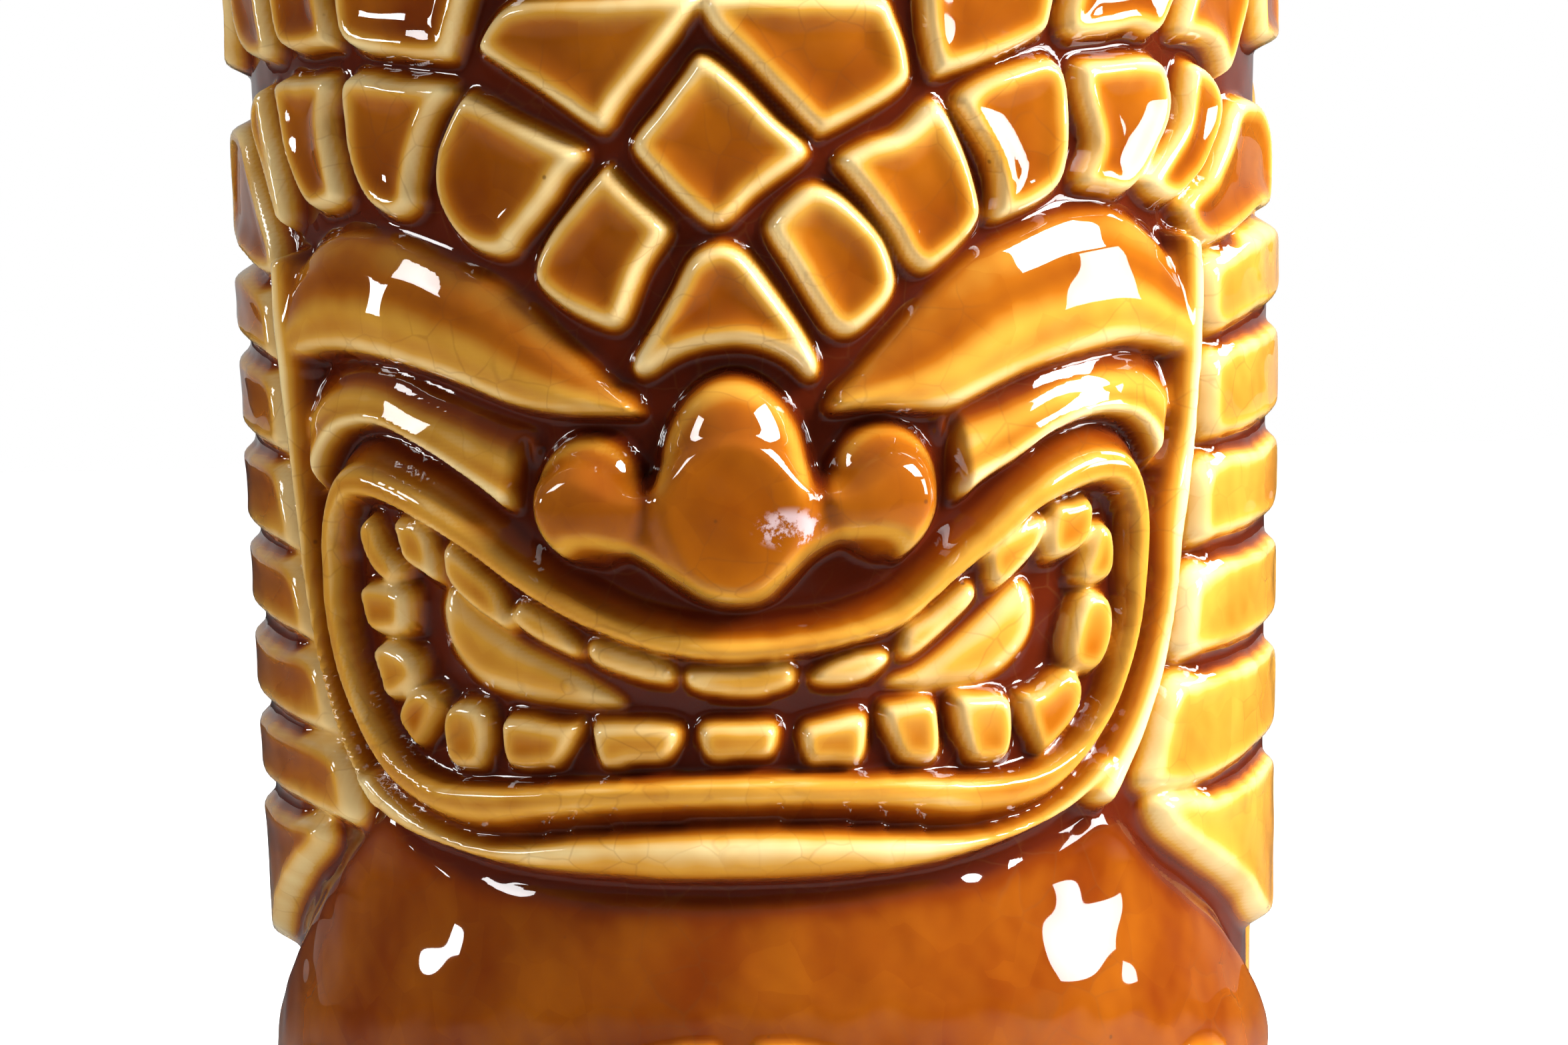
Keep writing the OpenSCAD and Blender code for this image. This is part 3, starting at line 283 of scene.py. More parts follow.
# The chest begins to swell below a line that lies at CHEST_BROW in front and droops by
# s^2 / CHEST_DROOP, and has swelled in full CHEST_SWELL lower
CHEST_BROW = 57.0
CHEST_DROOP = 450.0
CHEST_SWELL = 13.0
ARM = [(37, 47, 3.5), (40.5, 41, 5.5), (42, 34, 5.5), (40.5, 28.5, 5), (35, 28, 4.8), (28, 31.5, 4.6),
       (21, 35.5, 4.4), (18.5, 36.8, 4)]
SHOULDER_FADE_FROM = 46.0
SHOULDER_FADE_OVER = 9.0
HAND_BACK = [(20, 36.3, 4.4), (17, 36.6, 5.6), (15, 36.8, 5.8)]
FINGER_TIPS = [(17.5, 40.4), (17.5, 37.2), (17, 34.1), (16, 31.1)]
LEG = [(9.5, 21.5, 3.6), (16, 23.5, 4.6), (23, 23, 5), (28.5, 19, 5), (29.5, 14, 4.2), (28, 10.8, 3.6)]
FOOT = [(31.5, 4), (32, 8), (29.5, 11), (23, 11.6), (15, 10.6), (11, 8.6), (10.4, 4)]
TOE_COUNT = 4
TOE_FIRST = 12.6
TOE_PITCH = 3.4
# How much higher than their own relief the limbs stand, to clear the chest that they lie on
ON_CHEST = 1.3

# ---- how the nose swells, and how far the lips slope away outside their edge ----

# The nose's domes: middle s, middle z, width, height and share of the nose's full relief
NOSE_BULBS = [(-9.9, 81.3, 9.2, 9.6, 0.74), (11.8, 81.6, 9, 10, 0.74), (0.9, 82.2, 11.6, 16, 1.0)]
NOSE_MIDDLE = 1.0
NOSE_BLEND = 2.6
LIP_SKIRT = 2.0

# ---- what repeats round the mug ----

CROWN_COUNT = 18
CROWN_MIDDLE = 132.5
CROWN_TALL = 12.5
CROWN_GAP = 2.2
# Where the three low blocks over the wings stand
MIDDLE_BLOCKS = (-11, 0, 11)
# The blocks of the lower row round the sides and back, from SIDE_FIRST on each side
SIDE_COUNT = 11
SIDE_FIRST = 51.5
SIDE_MIDDLE = 118.5
SIDE_TALL = 11
SIDE_GAP = 2
LOCK_COUNT = 9
LOCK_FIRST = 67.0
# One lock of hair: heights, and half widths as shares of the pitch
LOCK_PATH = [(108, 0.40), (80, 0.45), (45, 0.45), (14, 0.34)]

# Right half of an upright block, from its head to its foot, as shares of its width and height
UPRIGHT_HALF = [(0.36, 0.5), (0.5, 0.3), (0.42, -0.36), (0.3, -0.5)]

# ---- heights across a fold, from its first edge to its second ----

EYE_PROFILE = ([0, 0.08, 0.3, 0.65, 0.88, 0.97, 1], [0.15, 0.5, 0.82, 1, 0.92, 0.6, 0.2])
CHEEK_PROFILE = ([0, 0.25, 0.55, 0.85, 0.96, 1], [0.45, 0.72, 0.84, 1, 0.7, 0.25])
LIP_PROFILE = ([0, 0.15, 0.4, 0.65, 0.9, 1], [0.5, 0.78, 0.98, 0.95, 1, 0.45])
RAIL_PROFILE = ([0, 0.15, 0.4, 0.7, 1], [0.1, 0.6, 1, 0.94, 0.6])
CHIN_PROFILE = ([0, 0.2, 0.4, 0.7, 0.9, 1], [0.55, 0.92, 1, 0.9, 0.65, 0.15])

# ---- glaze tones: 0 is where it runs thin and pale, 1 where it pools dark; some of the dark is painted shade ----

GROOVE_TONE = 0.94
SKIRT_TONE = 0.86
WALL_TONE = 0.9
BLOCK_TONE = 0.63
BED_TONE = 0.92

# Tones across a fold, like the heights
RAIL_TONES = ([0, 0.25, 0.5, 0.75, 1], [0.85, 0.4, 0.06, 0.4, 0.85])
CHIN_TONES = ([0, 0.15, 0.32, 0.6, 0.9, 1], [0.85, 0.4, 0.1, 0.34, 0.44, 0.75])
CHEEK_TONES = ([0, 0.15, 0.4, 0.62, 0.82, 0.93, 1], [0.74, 0.36, 0.28, 0.56, 0.05, 0.16, 0.8])
EYE_TONES = ([0, 0.06, 0.16, 0.4, 0.62, 0.78, 0.92, 1], [0.85, 0.5, 0.46, 0.66, 0.3, 0.44, 0.08, 0.7])
LIP_TONES = ([0, 0.12, 0.32, 0.52, 0.64, 0.82, 0.93, 1], [0.8, 0.48, 0.24, 0.5, 0.58, 0.16, 0.24, 0.8])
# Tones of a limb, from its edge to its middle
LIMB_TONES = ([0, 0.12, 0.4, 1], [0.75, 0.4, 0.26, 0.46])

# Each fold's name, edges, kind of relief, profile, tones, the length in which its ends shut, and its skirt
FOLDS = [
    ("jaw_left", (JAW_LEFT_OUT, JAW_LEFT_IN), "jaw", RAIL_PROFILE, RAIL_TONES, 0.8, 0.0),
    ("jaw_right", (JAW_RIGHT_OUT, JAW_RIGHT_IN), "jaw", RAIL_PROFILE, RAIL_TONES, 0.8, 0.0),
    ("chin", (CHIN_TOP, CHIN_LOW), "jaw", CHIN_PROFILE, CHIN_TONES, 0.8, 0.0),
    ("cheek_left", (CHEEK_LEFT_TOP, CHEEK_LEFT_LOW), "cheek", CHEEK_PROFILE, CHEEK_TONES, 1.0, 2.2),
    ("cheek_right", (CHEEK_RIGHT_TOP, CHEEK_RIGHT_LOW), "cheek", CHEEK_PROFILE, CHEEK_TONES, 1.0, 2.2),
    ("eye_left", (EYE_LEFT_TOP, EYE_LEFT_LOW), "eye", EYE_PROFILE, EYE_TONES, 1.0, 1.0),
    ("eye_right", (EYE_RIGHT_TOP, EYE_RIGHT_LOW), "eye", EYE_PROFILE, EYE_TONES, 1.0, 1.0)]

# ---- how the carvings meet the wall and the glaze, in millimetres ----

GROOVE_HEIGHT = 0.25
MOUTH_HEIGHT = 0.08
GUM_RISE = 0.8
# How far outside its outline a carving still colours the wall, and over what width its colour comes in
EDGE_REACH = 0.4
EDGE_FADE = 0.5
# A block's side begins BLOCK_FOOT outside its outline; its hollow begins HOLLOW_FROM inside and is
# at its deepest HOLLOW_OVER further in
BLOCK_FOOT = 0.35
HOLLOW_FROM = 0.9
HOLLOW_OVER = 2.3
# Blur of the heights and of the tones, and the wider blur that tells a ridge from a hollow
LEVEL_HEIGHT = 0.24
LEVEL_TONE = 0.28
LEVEL_WIDE = 1.7
LEAST_HEIGHT = 0.05

GROUNDWORK = "cup_wall"
NODE_NAMES = ["cup_wall", "crown_row", "headdress_row", "headdress_wings", "brow_diamond", "brow_row_left",
              "brow_row_right", "brow_triangle", "eye_left", "eye_right", "cheek_left", "cheek_right", "nose",
              "mouth_frame", "upper_teeth", "lower_teeth", "tongue_left", "tongue_right", "jaw_left",
              "jaw_right", "chin", "braid_left", "braid_right", "chest", "arm_left", "arm_right", "hand_left",
              "hand_right", "leg_left", "leg_right", "foot_left", "foot_right", "back_hair"]


# ---- settings a user would change ----


def length_setting(name, description, millimetres):
    """A length in metres whose default is given in millimetres."""
    return bpy.props.FloatProperty(name=name, description=description, default=millimetres * MM,
                                   min=0, max=0.02, precision=5, unit="LENGTH")


def colour_setting(name, description, colour):
    """A colour with its default in linear light."""
    return bpy.props.FloatVectorProperty(name=name, description=description, default=colour,
                                         size=3, min=0, max=1, subtype="COLOR")


class TikiCarvingSettings(bpy.types.PropertyGroup):
    """How far each kind of carving stands out from the wall."""

    block: length_setting("Blocks", "Relief of the headdress and brow blocks", 2.2)
    dish: length_setting("Hollow", "How far the middle of a block sinks", 0.5)
    eye: length_setting("Eyes", "Relief of the eye lobes", 3.0)
    cheek: length_setting("Cheeks", "Relief of the cheek folds", 2.8)
    lip: length_setting("Lips", "Relief of the lips", 3.4)
    jaw: length_setting("Jaw", "Relief of the jaw and chin", 3.2)
    tooth: length_setting("Teeth", "Relief of the teeth", 2.3)
    tongue: length_setting("Tongue", "Relief of the two lobes of the tongue", 1.3)
    nose: length_setting("Nose", "Relief of the tip of the nose", 5.3)
    braid: length_setting("Braids", "Relief of the braids", 2.4)
    chest: length_setting("Chest", "Relief of the chest", 2.4)
    limb: length_setting("Limbs", "Relief of the arms, hands, legs and feet", 2.4)
    hair: length_setting("Back hair", "Relief of the hair down the back", 1.6)


class TikiGlazeSettings(bpy.types.PropertyGroup):
    """Colours of the glaze from thin to pooled, and of the bare clay."""

    pale: colour_setting("Thin glaze", "Where the glaze breaks over an edge", (0.60, 0.46, 0.22))
    golden: colour_setting("Golden glaze", "Just inside an edge", (0.43, 0.21, 0.025))
    amber: colour_setting("Amber glaze", "Over open surfaces", (0.25, 0.070, 0.003))
    brown: colour_setting("Brown glaze", "Where the glaze is thick", (0.120, 0.020, 0.001))
    dark: colour_setting("Pooled glaze", "At the bottom of the grooves", (0.060, 0.007, 0.0015))
    clay: colour_setting("Bare clay", "The unglazed foot", (0.52, 0.40, 0.27))
    liner: colour_setting("Liner glaze", "The glaze inside the cup", (0.34, 0.15, 0.04))
    craze_cell: length_setting("Craze size", "Width of one cell of the crazing", 3.2)


# ---- working out the sheet ----

# The sheet and its cutting lines, kept once they are worked out
WORKSHOP = {}


def smooth(x):
    """3x^2 - 2x^3 with x held to 0..1."""
    x = np.clip(x, 0, 1)
    return x * x * (3 - 2 * x)


def flowing(points, closed, steps=5):
    """A Catmull-Rom curve through the points, each span cut into equal steps.

    Between b and c, with a before and d after, the curve at t is
    (2b + (c - a)t + (2a - 5b + 4c - d)t^2 + (3b - a - 3c + d)t^3) / 2.
    """
    p = np.asarray(points, float)
    if closed:
        a, b, c, d = np.roll(p, 1, 0), p, np.roll(p, -1, 0), np.roll(p, -2, 0)
    else:
        ends = np.vstack([2 * p[0] - p[1], p, 2 * p[-1] - p[-2]])
        a, b, c, d = ends[:-3], ends[1:-2], ends[2:-1], ends[3:]
    t = (np.arange(steps) / steps)[None, :, None]
    a, b, c, d = (q[:, None, :] for q in (a, b, c, d))
    bend = (2 * a - 5 * b + 4 * c - d) * t ** 2
    twist = (3 * b - a - 3 * c + d) * t ** 3
    curve = (2 * b + (c - a) * t + bend + twist) / 2
    curve = curve.reshape(-1, p.shape[1])
    return curve if closed else np.vstack([curve, p[-1:]])


def distance_to(s, z, line, closed):
    """Distance from each (s, z) to a line of points.

    On a span from a to b the nearest point is a + t(b - a), where t is
    (p - a).(b - a) / |b - a|^2 held to 0..1.
    """
    a = line if closed else line[:-1]
    b = np.roll(line, -1, 0) if closed else line[1:]
    way = b - a
    size = np.maximum((way ** 2).sum(1), 1e-9)
    ds = s[..., None] - a[:, 0]
    dz = z[..., None] - a[:, 1]
    t = np.clip((ds * way[:, 0] + dz * way[:, 1]) / size, 0, 1)
    return np.sqrt(((ds - t * way[:, 0]) ** 2 + (dz - t * way[:, 1]) ** 2).min(-1))


def depth_inside(s, z, ring):
    """Distance to the ring's edge, positive inside it.

    A point is inside when a ray from it toward +s crosses the ring an odd
    number of times.
    """
    a, b = ring, np.roll(ring, -1, 0)
    above_a = z[..., None] < a[:, 1]
    above_b = z[..., None] < b[:, 1]
    rise = np.where(np.abs(b[:, 1] - a[:, 1]) < 1e-9, 1e-9, b[:, 1] - a[:, 1])
    crossing = a[:, 0] + (z[..., None] - a[:, 1]) * (b[:, 0] - a[:, 0]) / rise
    hits = ((above_a != above_b) & (s[..., None] < crossing)).sum(-1)
    return np.where(hits % 2 == 1, 1.0, -1.0) * distance_to(s, z, ring, True)


def levelled(field, sigma):
    """The field blurred by a bell curve of sigma millimetres, wrapped in s."""
    for axis, step in ((1, S_STEP), (0, Z_STEP)):
        reach = max(1, int(math.ceil(2.6 * sigma / step)))
        weights = np.exp(-0.5 * (np.arange(-reach, reach + 1) * step / sigma) ** 2)
        weights /= weights.sum()
        mode = "wrap" if axis == 1 else "edge"
        wide = np.pad(field, [(reach, reach) if k == axis else (0, 0) for k in (0, 1)], mode=mode)
        size = field.shape[axis]
        spans = [np.take(wide, np.arange(k, k + size), axis) for k in range(2 * reach + 1)]
        field = sum(w * span for w, span in zip(weights, spans))
    return field


def ripple(s, z, seed, scale, count=9):
    """A gentle random wave between about -1 and 1: a sum of sines that meet at the back seam."""
    rng = np.random.default_rng(seed)
    total = np.zeros(np.broadcast(s, z).shape)
    for _ in range(count):
        turns = max(1, round(rng.uniform(0.5, 1.5) * ROUND / scale))
        total = total + np.sin(2 * math.pi * (turns * s / ROUND + rng.uniform(-1.4, 1.4) * z / scale
                                              + rng.uniform(0, 1)))
    return total / math.sqrt(count)


class Sheet:
    """The unrolled wall: heights above the ground, glaze tones, and which carving owns each point."""

    def __init__(self):
        self.s = -ROUND / 2 + np.arange(COLUMNS) * S_STEP
        self.z = CARVE_LOW + np.arange(ROWS) * Z_STEP
        self.height = np.full((ROWS, COLUMNS), GROOVE_HEIGHT)
        self.tone = np.full((ROWS, COLUMNS), GROOVE_TONE)
        self.near = np.full((ROWS, COLUMNS), -1.0)
        self.owner = np.zeros((ROWS, COLUMNS), int)

    def window(self, shape, margin):
        """Where a shape lies on the sheet, and the s and z of every point there."""
        low = shape.min(0) - margin
        high = shape.max(0) + margin
        first = math.floor((low[0] + ROUND / 2) / S_STEP)
        last = math.ceil((high[0] + ROUND / 2) / S_STEP)
        columns = np.arange(first, last + 1)
        bottom = max(0, math.floor((low[1] - CARVE_LOW) / Z_STEP))
        top = min(ROWS - 1, math.ceil((high[1] - CARVE_LOW) / Z_STEP))
        rows = np.arange(bottom, top + 1)
        s, z = np.meshgrid(-ROUND / 2 + columns * S_STEP, CARVE_LOW + rows * Z_STEP)
        return np.ix_(rows, columns % COLUMNS), s, z

    def add(self, name, where, depth, height, tone):
        """Raises the sheet to this height where that is higher, and lays this tone there.

        The tone comes in across the shape's edge, and as the shape rises out
        of what is there already. The shape owns a point where it is the
        taller, or where the point lies deeper inside it than inside any shape
        before.
        """
        rise = height - self.height[where]
        taller = (rise > -0.02) & (depth > -EDGE_REACH)
        blend = smooth((depth + EDGE_REACH) / EDGE_FADE) * smooth((rise + 0.1) / 0.45)
        self.height[where] = np.maximum(self.height[where], height)
        self.tone[where] = self.tone[where] * (1 - blend) + tone * blend
        wins = taller | (depth > self.near[where])
        self.near[where] = np.where(wins, np.maximum(depth, self.near[where]), self.near[where])
        self.owner[where] = np.where(wins, NODE_NAMES.index(name), self.owner[where])


def block(sheet, name, outline, height, dish, tone=BLOCK_TONE, edge=0.9, rim_in=0.65, pale=0.13, grow=0.3,
          fall=0.2):
    """A raised block with a pale rim, a hollow top and a dark side.

    With d the depth inside its outline plus grow, and the named lengths
    above, its height is h smooth((d + foot) / (edge + foot))
    - dish smooth((d - hollow_from) / hollow_over). Its top has this tone
    halfway up and fall more at its foot than at its head. The rim turns pale
    from rim_in outwards.
    """
    ring = flowing(outline, True)
    where, s, z = sheet.window(ring, 2 + grow)
    d = depth_inside(s, z, ring) + grow
    hollow = dish * smooth((d - HOLLOW_FROM) / HOLLOW_OVER)
    raised = height * smooth((d + BLOCK_FOOT) / (edge + BLOCK_FOOT)) - hollow
    rim = 1 - smooth((d - rim_in) / (rim_in + 0.9))
    low_part = smooth((ring[:, 1].max() - z) / np.ptp(ring[:, 1]))
    inside = tone - fall / 2 + fall * low_part
    side = 1 - smooth((d + 0.3) / 0.6)
    top = inside * (1 - rim) + pale * rim
    sheet.add(name, where, d, raised, top * (1 - side) + WALL_TONE * side)


def fold(sheet, name, edges, height, profile, tones, end, skirt):
    """A fold between two edges: h profile(t) smooth((e + 0.2) / end).

    t = dA / (dA + dB) runs from edge A to edge B, and e is the distance to
    the nearer end. Outside edge A a skirt carries the height there down to
    nothing over that many millimetres, while the glaze on it darkens.
    """
    a, b = (flowing(edge, False) for edge in edges)
    ring = np.vstack([a, b[::-1]])
    where, s, z = sheet.window(ring, 2 + skirt)
    d = depth_inside(s, z, ring)
    to_a = distance_to(s, z, a, False)
    to_b = distance_to(s, z, b, False)
    t = to_a / np.maximum(to_a + to_b, 1e-6)
    ends = np.minimum(distance_to(s, z, ring[[0, -1]], False),
                      distance_to(s, z, np.vstack([a[-1], b[-1]]), False))
    shut = smooth((ends + 0.2) / end)
    if skirt:
        outside = (d <= 0) & (to_a < to_b) & (to_a < skirt)
        fall = 1 - smooth(to_a / skirt)
        tone = tones[1][0] * fall + SKIRT_TONE * (1 - fall)
        sloped = height * profile[1][0] * fall * shut * outside
        sheet.add(name, where, np.where(outside, 0.0, -1.0), sloped, tone)
    raised = height * np.interp(t, *profile) * shut * (d > -0.05)
    sheet.add(name, where, d, raised, np.interp(t, *tones))


def swelling(sheet, name, path, height, fade=False):
    """A rounded limb along a path of (s, z, half width): h (1 - u^2)^0.6.

    u is the distance from a span of the path over the half width there, the
    least of all spans. An arm fades into the shoulder above it.
    """
    line = flowing(path, False, 8)
    spots = line[:, :2]
    margin = line[:, 2].max() + 1
    where, s, z = sheet.window(spots, margin)
    way = np.diff(line, axis=0)
    ds, dz = s[..., None] - spots[:-1, 0], z[..., None] - spots[:-1, 1]
    t = np.clip((ds * way[:, 0] + dz * way[:, 1]) / (way[:, :2] ** 2).sum(1), 0, 1)
    gap = np.sqrt((ds - t * way[:, 0]) ** 2 + (dz - t * way[:, 1]) ** 2)
    u = (gap / (line[:-1, 2] + t * way[:, 2])).min(-1)
    depth = (1 - u) * line[:, 2].mean()
    raised = height * np.clip(1 - u * u, 0, 1) ** 0.6
    if fade:
        raised = raised * smooth((SHOULDER_FADE_FROM - z) / SHOULDER_FADE_OVER)
    sheet.add(name, where, depth, raised, np.interp(1 - u, *LIMB_TONES))


def mirrored(points):
    """The same points on the other side of the centre line."""
    return [(-p[0], *p[1:]) for p in points]


def upright(s, z, wide, tall):
    """A rounded upright block, its middle at (s, z), a little narrower at its foot."""
    right = [(s + wide * x, z + tall * y) for x, y in UPRIGHT_HALF]
    left = [(s - wide * x, z + tall * y) for x, y in UPRIGHT_HALF[::-1]]
    return right + left


def carve_headdress(sheet, mm):
    """The crown row, the row under it and the two wings over the brow."""
    pitch = ROUND / CROWN_COUNT
    for i in range(CROWN_COUNT):
        outline = upright(i * pitch, CROWN_MIDDLE, pitch - CROWN_GAP, CROWN_TALL)
        block(sheet, "crown_row", outline, mm["block"], mm["dish"])
    for outline in HEADDRESS_LEFT + HEADDRESS_RIGHT + [upright(s, 121, 9.4, 6) for s in MIDDLE_BLOCKS]:
        block(sheet, "headdress_row", outline, mm["block"], mm["dish"])
    pitch = (ROUND - 2 * SIDE_FIRST) / SIDE_COUNT
    for i in range(SIDE_COUNT):
        outline = upright(SIDE_FIRST + pitch * (i + 0.5), SIDE_MIDDLE, pitch - SIDE_GAP, SIDE_TALL)
        block(sheet, "headdress_row", outline, mm["block"], mm["dish"])
    for outline in (WING_LEFT, WING_RIGHT):
        block(sheet, "headdress_wings", outline, mm["block"], mm["dish"])


def carve_brow(sheet, mm):
    """The diamond, the blocks that step down to each side, and the triangle over the nose."""
    block(sheet, "brow_diamond", DIAMOND, mm["block"] + 0.2, mm["dish"], 0.6)
    for name, outlines in (("brow_row_left", BROW_LEFT), ("brow_row_right", BROW_RIGHT)):
        for outline in outlines:
            block(sheet, name, outline, mm["block"], mm["dish"])
    block(sheet, "brow_triangle", TRIANGLE, mm["block"] + 0.3, mm["dish"], 0.7)


def carve_face_folds(sheet, mm):
    """Jaws, chin, cheeks and eyes, in that order: each a fold between two edges."""
    for name, edges, relief, profile, tones, end, skirt in FOLDS:
        fold(sheet, name, edges, mm[relief], profile, tones, end, skirt)


def joined(a, b, blend):
    """The higher of two heights, rounded where they meet: (a + b + sqrt((a - b)^2 + k^2)) / 2.

    k is the blend, held to nothing where either height is nothing.
    """
    k = blend * smooth(np.minimum(a, b) / 1.2)
    return (a + b + np.sqrt((a - b) ** 2 + k * k)) / 2


def carve_nose(sheet, mm):
    """One soft mass with a sharp lower edge, from which three domes h sqrt(1 - u^2 - v^2) swell.

    The glaze is dark in the valleys between the domes, and paler on their
    flanks and along the lower edge.
    """
    ring = flowing(NOSE_WING, True)
    where, s, z = sheet.window(ring, 6)
    d = depth_inside(s, z, ring)
    middle = np.exp(-((s - NOSE_MIDDLE) / 6.0) ** 2)
    body = mm["nose"] * (0.74 + 0.20 * middle) * smooth((d + 0.2) / 2.0)
    body = body * (1 - 0.55 * smooth((z - 80.5) / 6.5))
    depth = d
    inside = np.zeros(d.shape)
    for mid_s, mid_z, wide, tall, share in NOSE_BULBS:
        squared = ((s - mid_s) * 2 / wide) ** 2 + ((z - mid_z) * 2 / tall) ** 2
        dome = mm["nose"] * share * np.sqrt(np.clip(1 - squared, 0, 1))
        body = joined(body, dome, NOSE_BLEND)
        inside = np.maximum(inside, 1 - squared)
        depth = np.maximum(depth, (1 - np.sqrt(squared)) * wide / 2)
    body = np.minimum(body, mm["nose"])
    valley = smooth((z - 80) / 3) * (1 - smooth((inside - 0.02) / 0.22))
    crest = smooth(inside / 0.2) * (1 - smooth((inside - 0.25) / 0.35)) * smooth((z - 80) / 4)
    under = smooth((d - 0.2) / 0.6) * (1 - smooth((d - 0.9) / 1.4)) * (1 - smooth((z - 78.5) / 3))
    sheet.add("nose", where, depth, body, 0.66 + 0.28 * valley - 0.34 * crest - 0.38 * under)


def carve_mouth(sheet, mm):
    """The mouth: gum falling from the lips to a dark floor, the lips, the tongue's two lobes and the teeth.

    The lips have a skirt outside their edge, as a fold has.
    """
    outer, inner = (flowing(ring, True) for ring in (LIP_OUT, LIP_IN))
    where, s, z = sheet.window(outer, 4)
    from_out = depth_inside(s, z, outer)
    from_in = depth_inside(s, z, inner)
    opening = from_in > 0
    gum = 1 - smooth((from_in - 1.0) / 3.2)
    sheet.height[where] = np.where(opening, MOUTH_HEIGHT + GUM_RISE * gum, sheet.height[where])
    sheet.tone[where] = np.where(opening, 0.96 - 0.1 * gum, sheet.tone[where])
    sheet.near[where] = np.where(opening, -1.0, sheet.near[where])
    sheet.owner[where] = np.where(opening, 0, sheet.owner[where])
    skirt = (from_out <= 0) & (from_out > -LIP_SKIRT)
    fall = 1 - smooth(-from_out / LIP_SKIRT)
    tone = 0.66 * fall + SKIRT_TONE * (1 - fall)
    sheet.add("mouth_frame", where, np.where(skirt, 0.0, -1.0), mm["lip"] * 0.5 * fall * skirt, tone)
    d = np.minimum(from_out, -from_in)
    t = np.abs(from_out) / np.maximum(np.abs(from_out) + np.abs(from_in), 1e-6)
    raised = mm["lip"] * np.interp(t, *LIP_PROFILE) * (d > -0.05)
    sheet.add("mouth_frame", where, d, raised, np.interp(t, *LIP_TONES))
    for name, outline in (("tongue_left", TONGUE_LEFT), ("tongue_right", TONGUE_RIGHT)):
        block(sheet, name, outline, mm["tongue"], 0, tone=0.36, edge=1.6, rim_in=0.7, pale=0.14)
    for name, outlines, grow in (("upper_teeth", UPPER_TEETH, 0.35), ("lower_teeth", LOWER_TEETH, 0.15)):
        for outline in outlines:
            block(sheet, name, outline, mm["tooth"], 0.15, tone=0.52, edge=0.7, rim_in=0.4, pale=0.16,
                  grow=grow)


def carve_hair(sheet, mm):
    """The braids beside the face, each side on a low bed, and the locks down the back."""
    for side, low, high in ((-1, 52, 98), (1, 52, 99)):
        bed = [(44.5, high), (62, high + 1), (62, low - 5), (43, low + 3), (40.5, 66), (43, 80)]
        bed = np.array(bed, float) * (side, 1)
        where, s, z = sheet.window(bed, 2)
        d = depth_inside(s, z, bed)
        raised = 0.6 * mm["braid"] * smooth((d + 0.3) / 1.6)
        sheet.add(GROUNDWORK, where, d, raised, np.full(d.shape, BED_TONE))
    # Painted light and shade: the left braids are darker and darkest at their tops, the right braids paler,
    # as the light falls from the right
    braids = (("braid_left", BRAID_LEFT, 0.6, -0.4), ("braid_right", BRAID_RIGHT, 0.38, 0.1))
    for name, outlines, tone, fall in braids:
        for outline in outlines:
            block(sheet, name, outline, mm["braid"], 0.1, tone, edge=1.6, rim_in=0.8, pale=0.12, grow=0.85,
                  fall=fall)
    pitch = (ROUND - 2 * LOCK_FIRST) / LOCK_COUNT
    for i in range(LOCK_COUNT):
        s = LOCK_FIRST + pitch * (i + 0.5)
        swelling(sheet, "back_hair", [(s, z, pitch * share) for z, share in LOCK_PATH], mm["hair"])


def carve_body(sheet, mm):
    """The chest, then the arms, hands, legs and feet, each side the mirror of the other."""
    ring = flowing(np.vstack([CHEST_TOP, CHEST_LOW[::-1]]), True)
    where, s, z = sheet.window(ring, 2)
    d = depth_inside(s, z, ring)
    swell = smooth((CHEST_BROW - s * s / CHEST_DROOP - z) / CHEST_SWELL)
    belly = 0.55 + 0.45 * smooth((z - 17) / 14)
    raised = mm["chest"] * smooth((d + 0.3) / 2.0) * (0.2 + 0.8 * swell) * belly
    # Darker within 3 mm of the chest's edge: pooled glaze, and painted shade under the chin
    sheet.add("chest", where, d, 0.15 + raised, 0.70 + 0.2 * smooth((3 - d) / 3))
    limb = mm["limb"] + ON_CHEST
    for side, turned in (("right", list), ("left", mirrored)):
        swelling(sheet, "leg_" + side, turned(LEG), limb)
        block(sheet, "foot_" + side, turned(FOOT), mm["limb"], 0, tone=0.4, edge=1.6)
        for k in range(TOE_COUNT):
            toe = upright(TOE_FIRST + TOE_PITCH * k, 6.2, 2.9, 4.4)
            block(sheet, "foot_" + side, turned(toe), mm["limb"] + 0.6, 0, tone=0.35, edge=1.0)
        swelling(sheet, "arm_" + side, turned(ARM), limb, fade=True)
        swelling(sheet, "hand_" + side, turned(HAND_BACK), limb)
        for tip_s, tip_z in FINGER_TIPS:
            finger = [(tip_s, tip_z - 2, 1.7), (10, tip_z - 0.3, 1.75), (4.5, tip_z + 1.1, 1.65),
                      (2.1, tip_z + 1.4, 1.5)]
            swelling(sheet, "hand_" + side, turned(finger), limb + 0.1)


def carved_sheet(context):
    """The finished sheet, worked out once from the carving settings."""
    if "sheet" in WORKSHOP:
        return WORKSHOP["sheet"]
    settings = context.scene.tiki_carving
    mm = {key: getattr(settings, key) / MM for key in TikiCarvingSettings.__annotations__}
    sheet = Sheet()
    carve_body(sheet, mm)
    carve_hair(sheet, mm)
    carve_headdress(sheet, mm)
    carve_face_folds(sheet, mm)
    carve_brow(sheet, mm)
    carve_mouth(sheet, mm)
    carve_nose(sheet, mm)
    finish_sheet(sheet)
    WORKSHOP["sheet"] = sheet
    return sheet


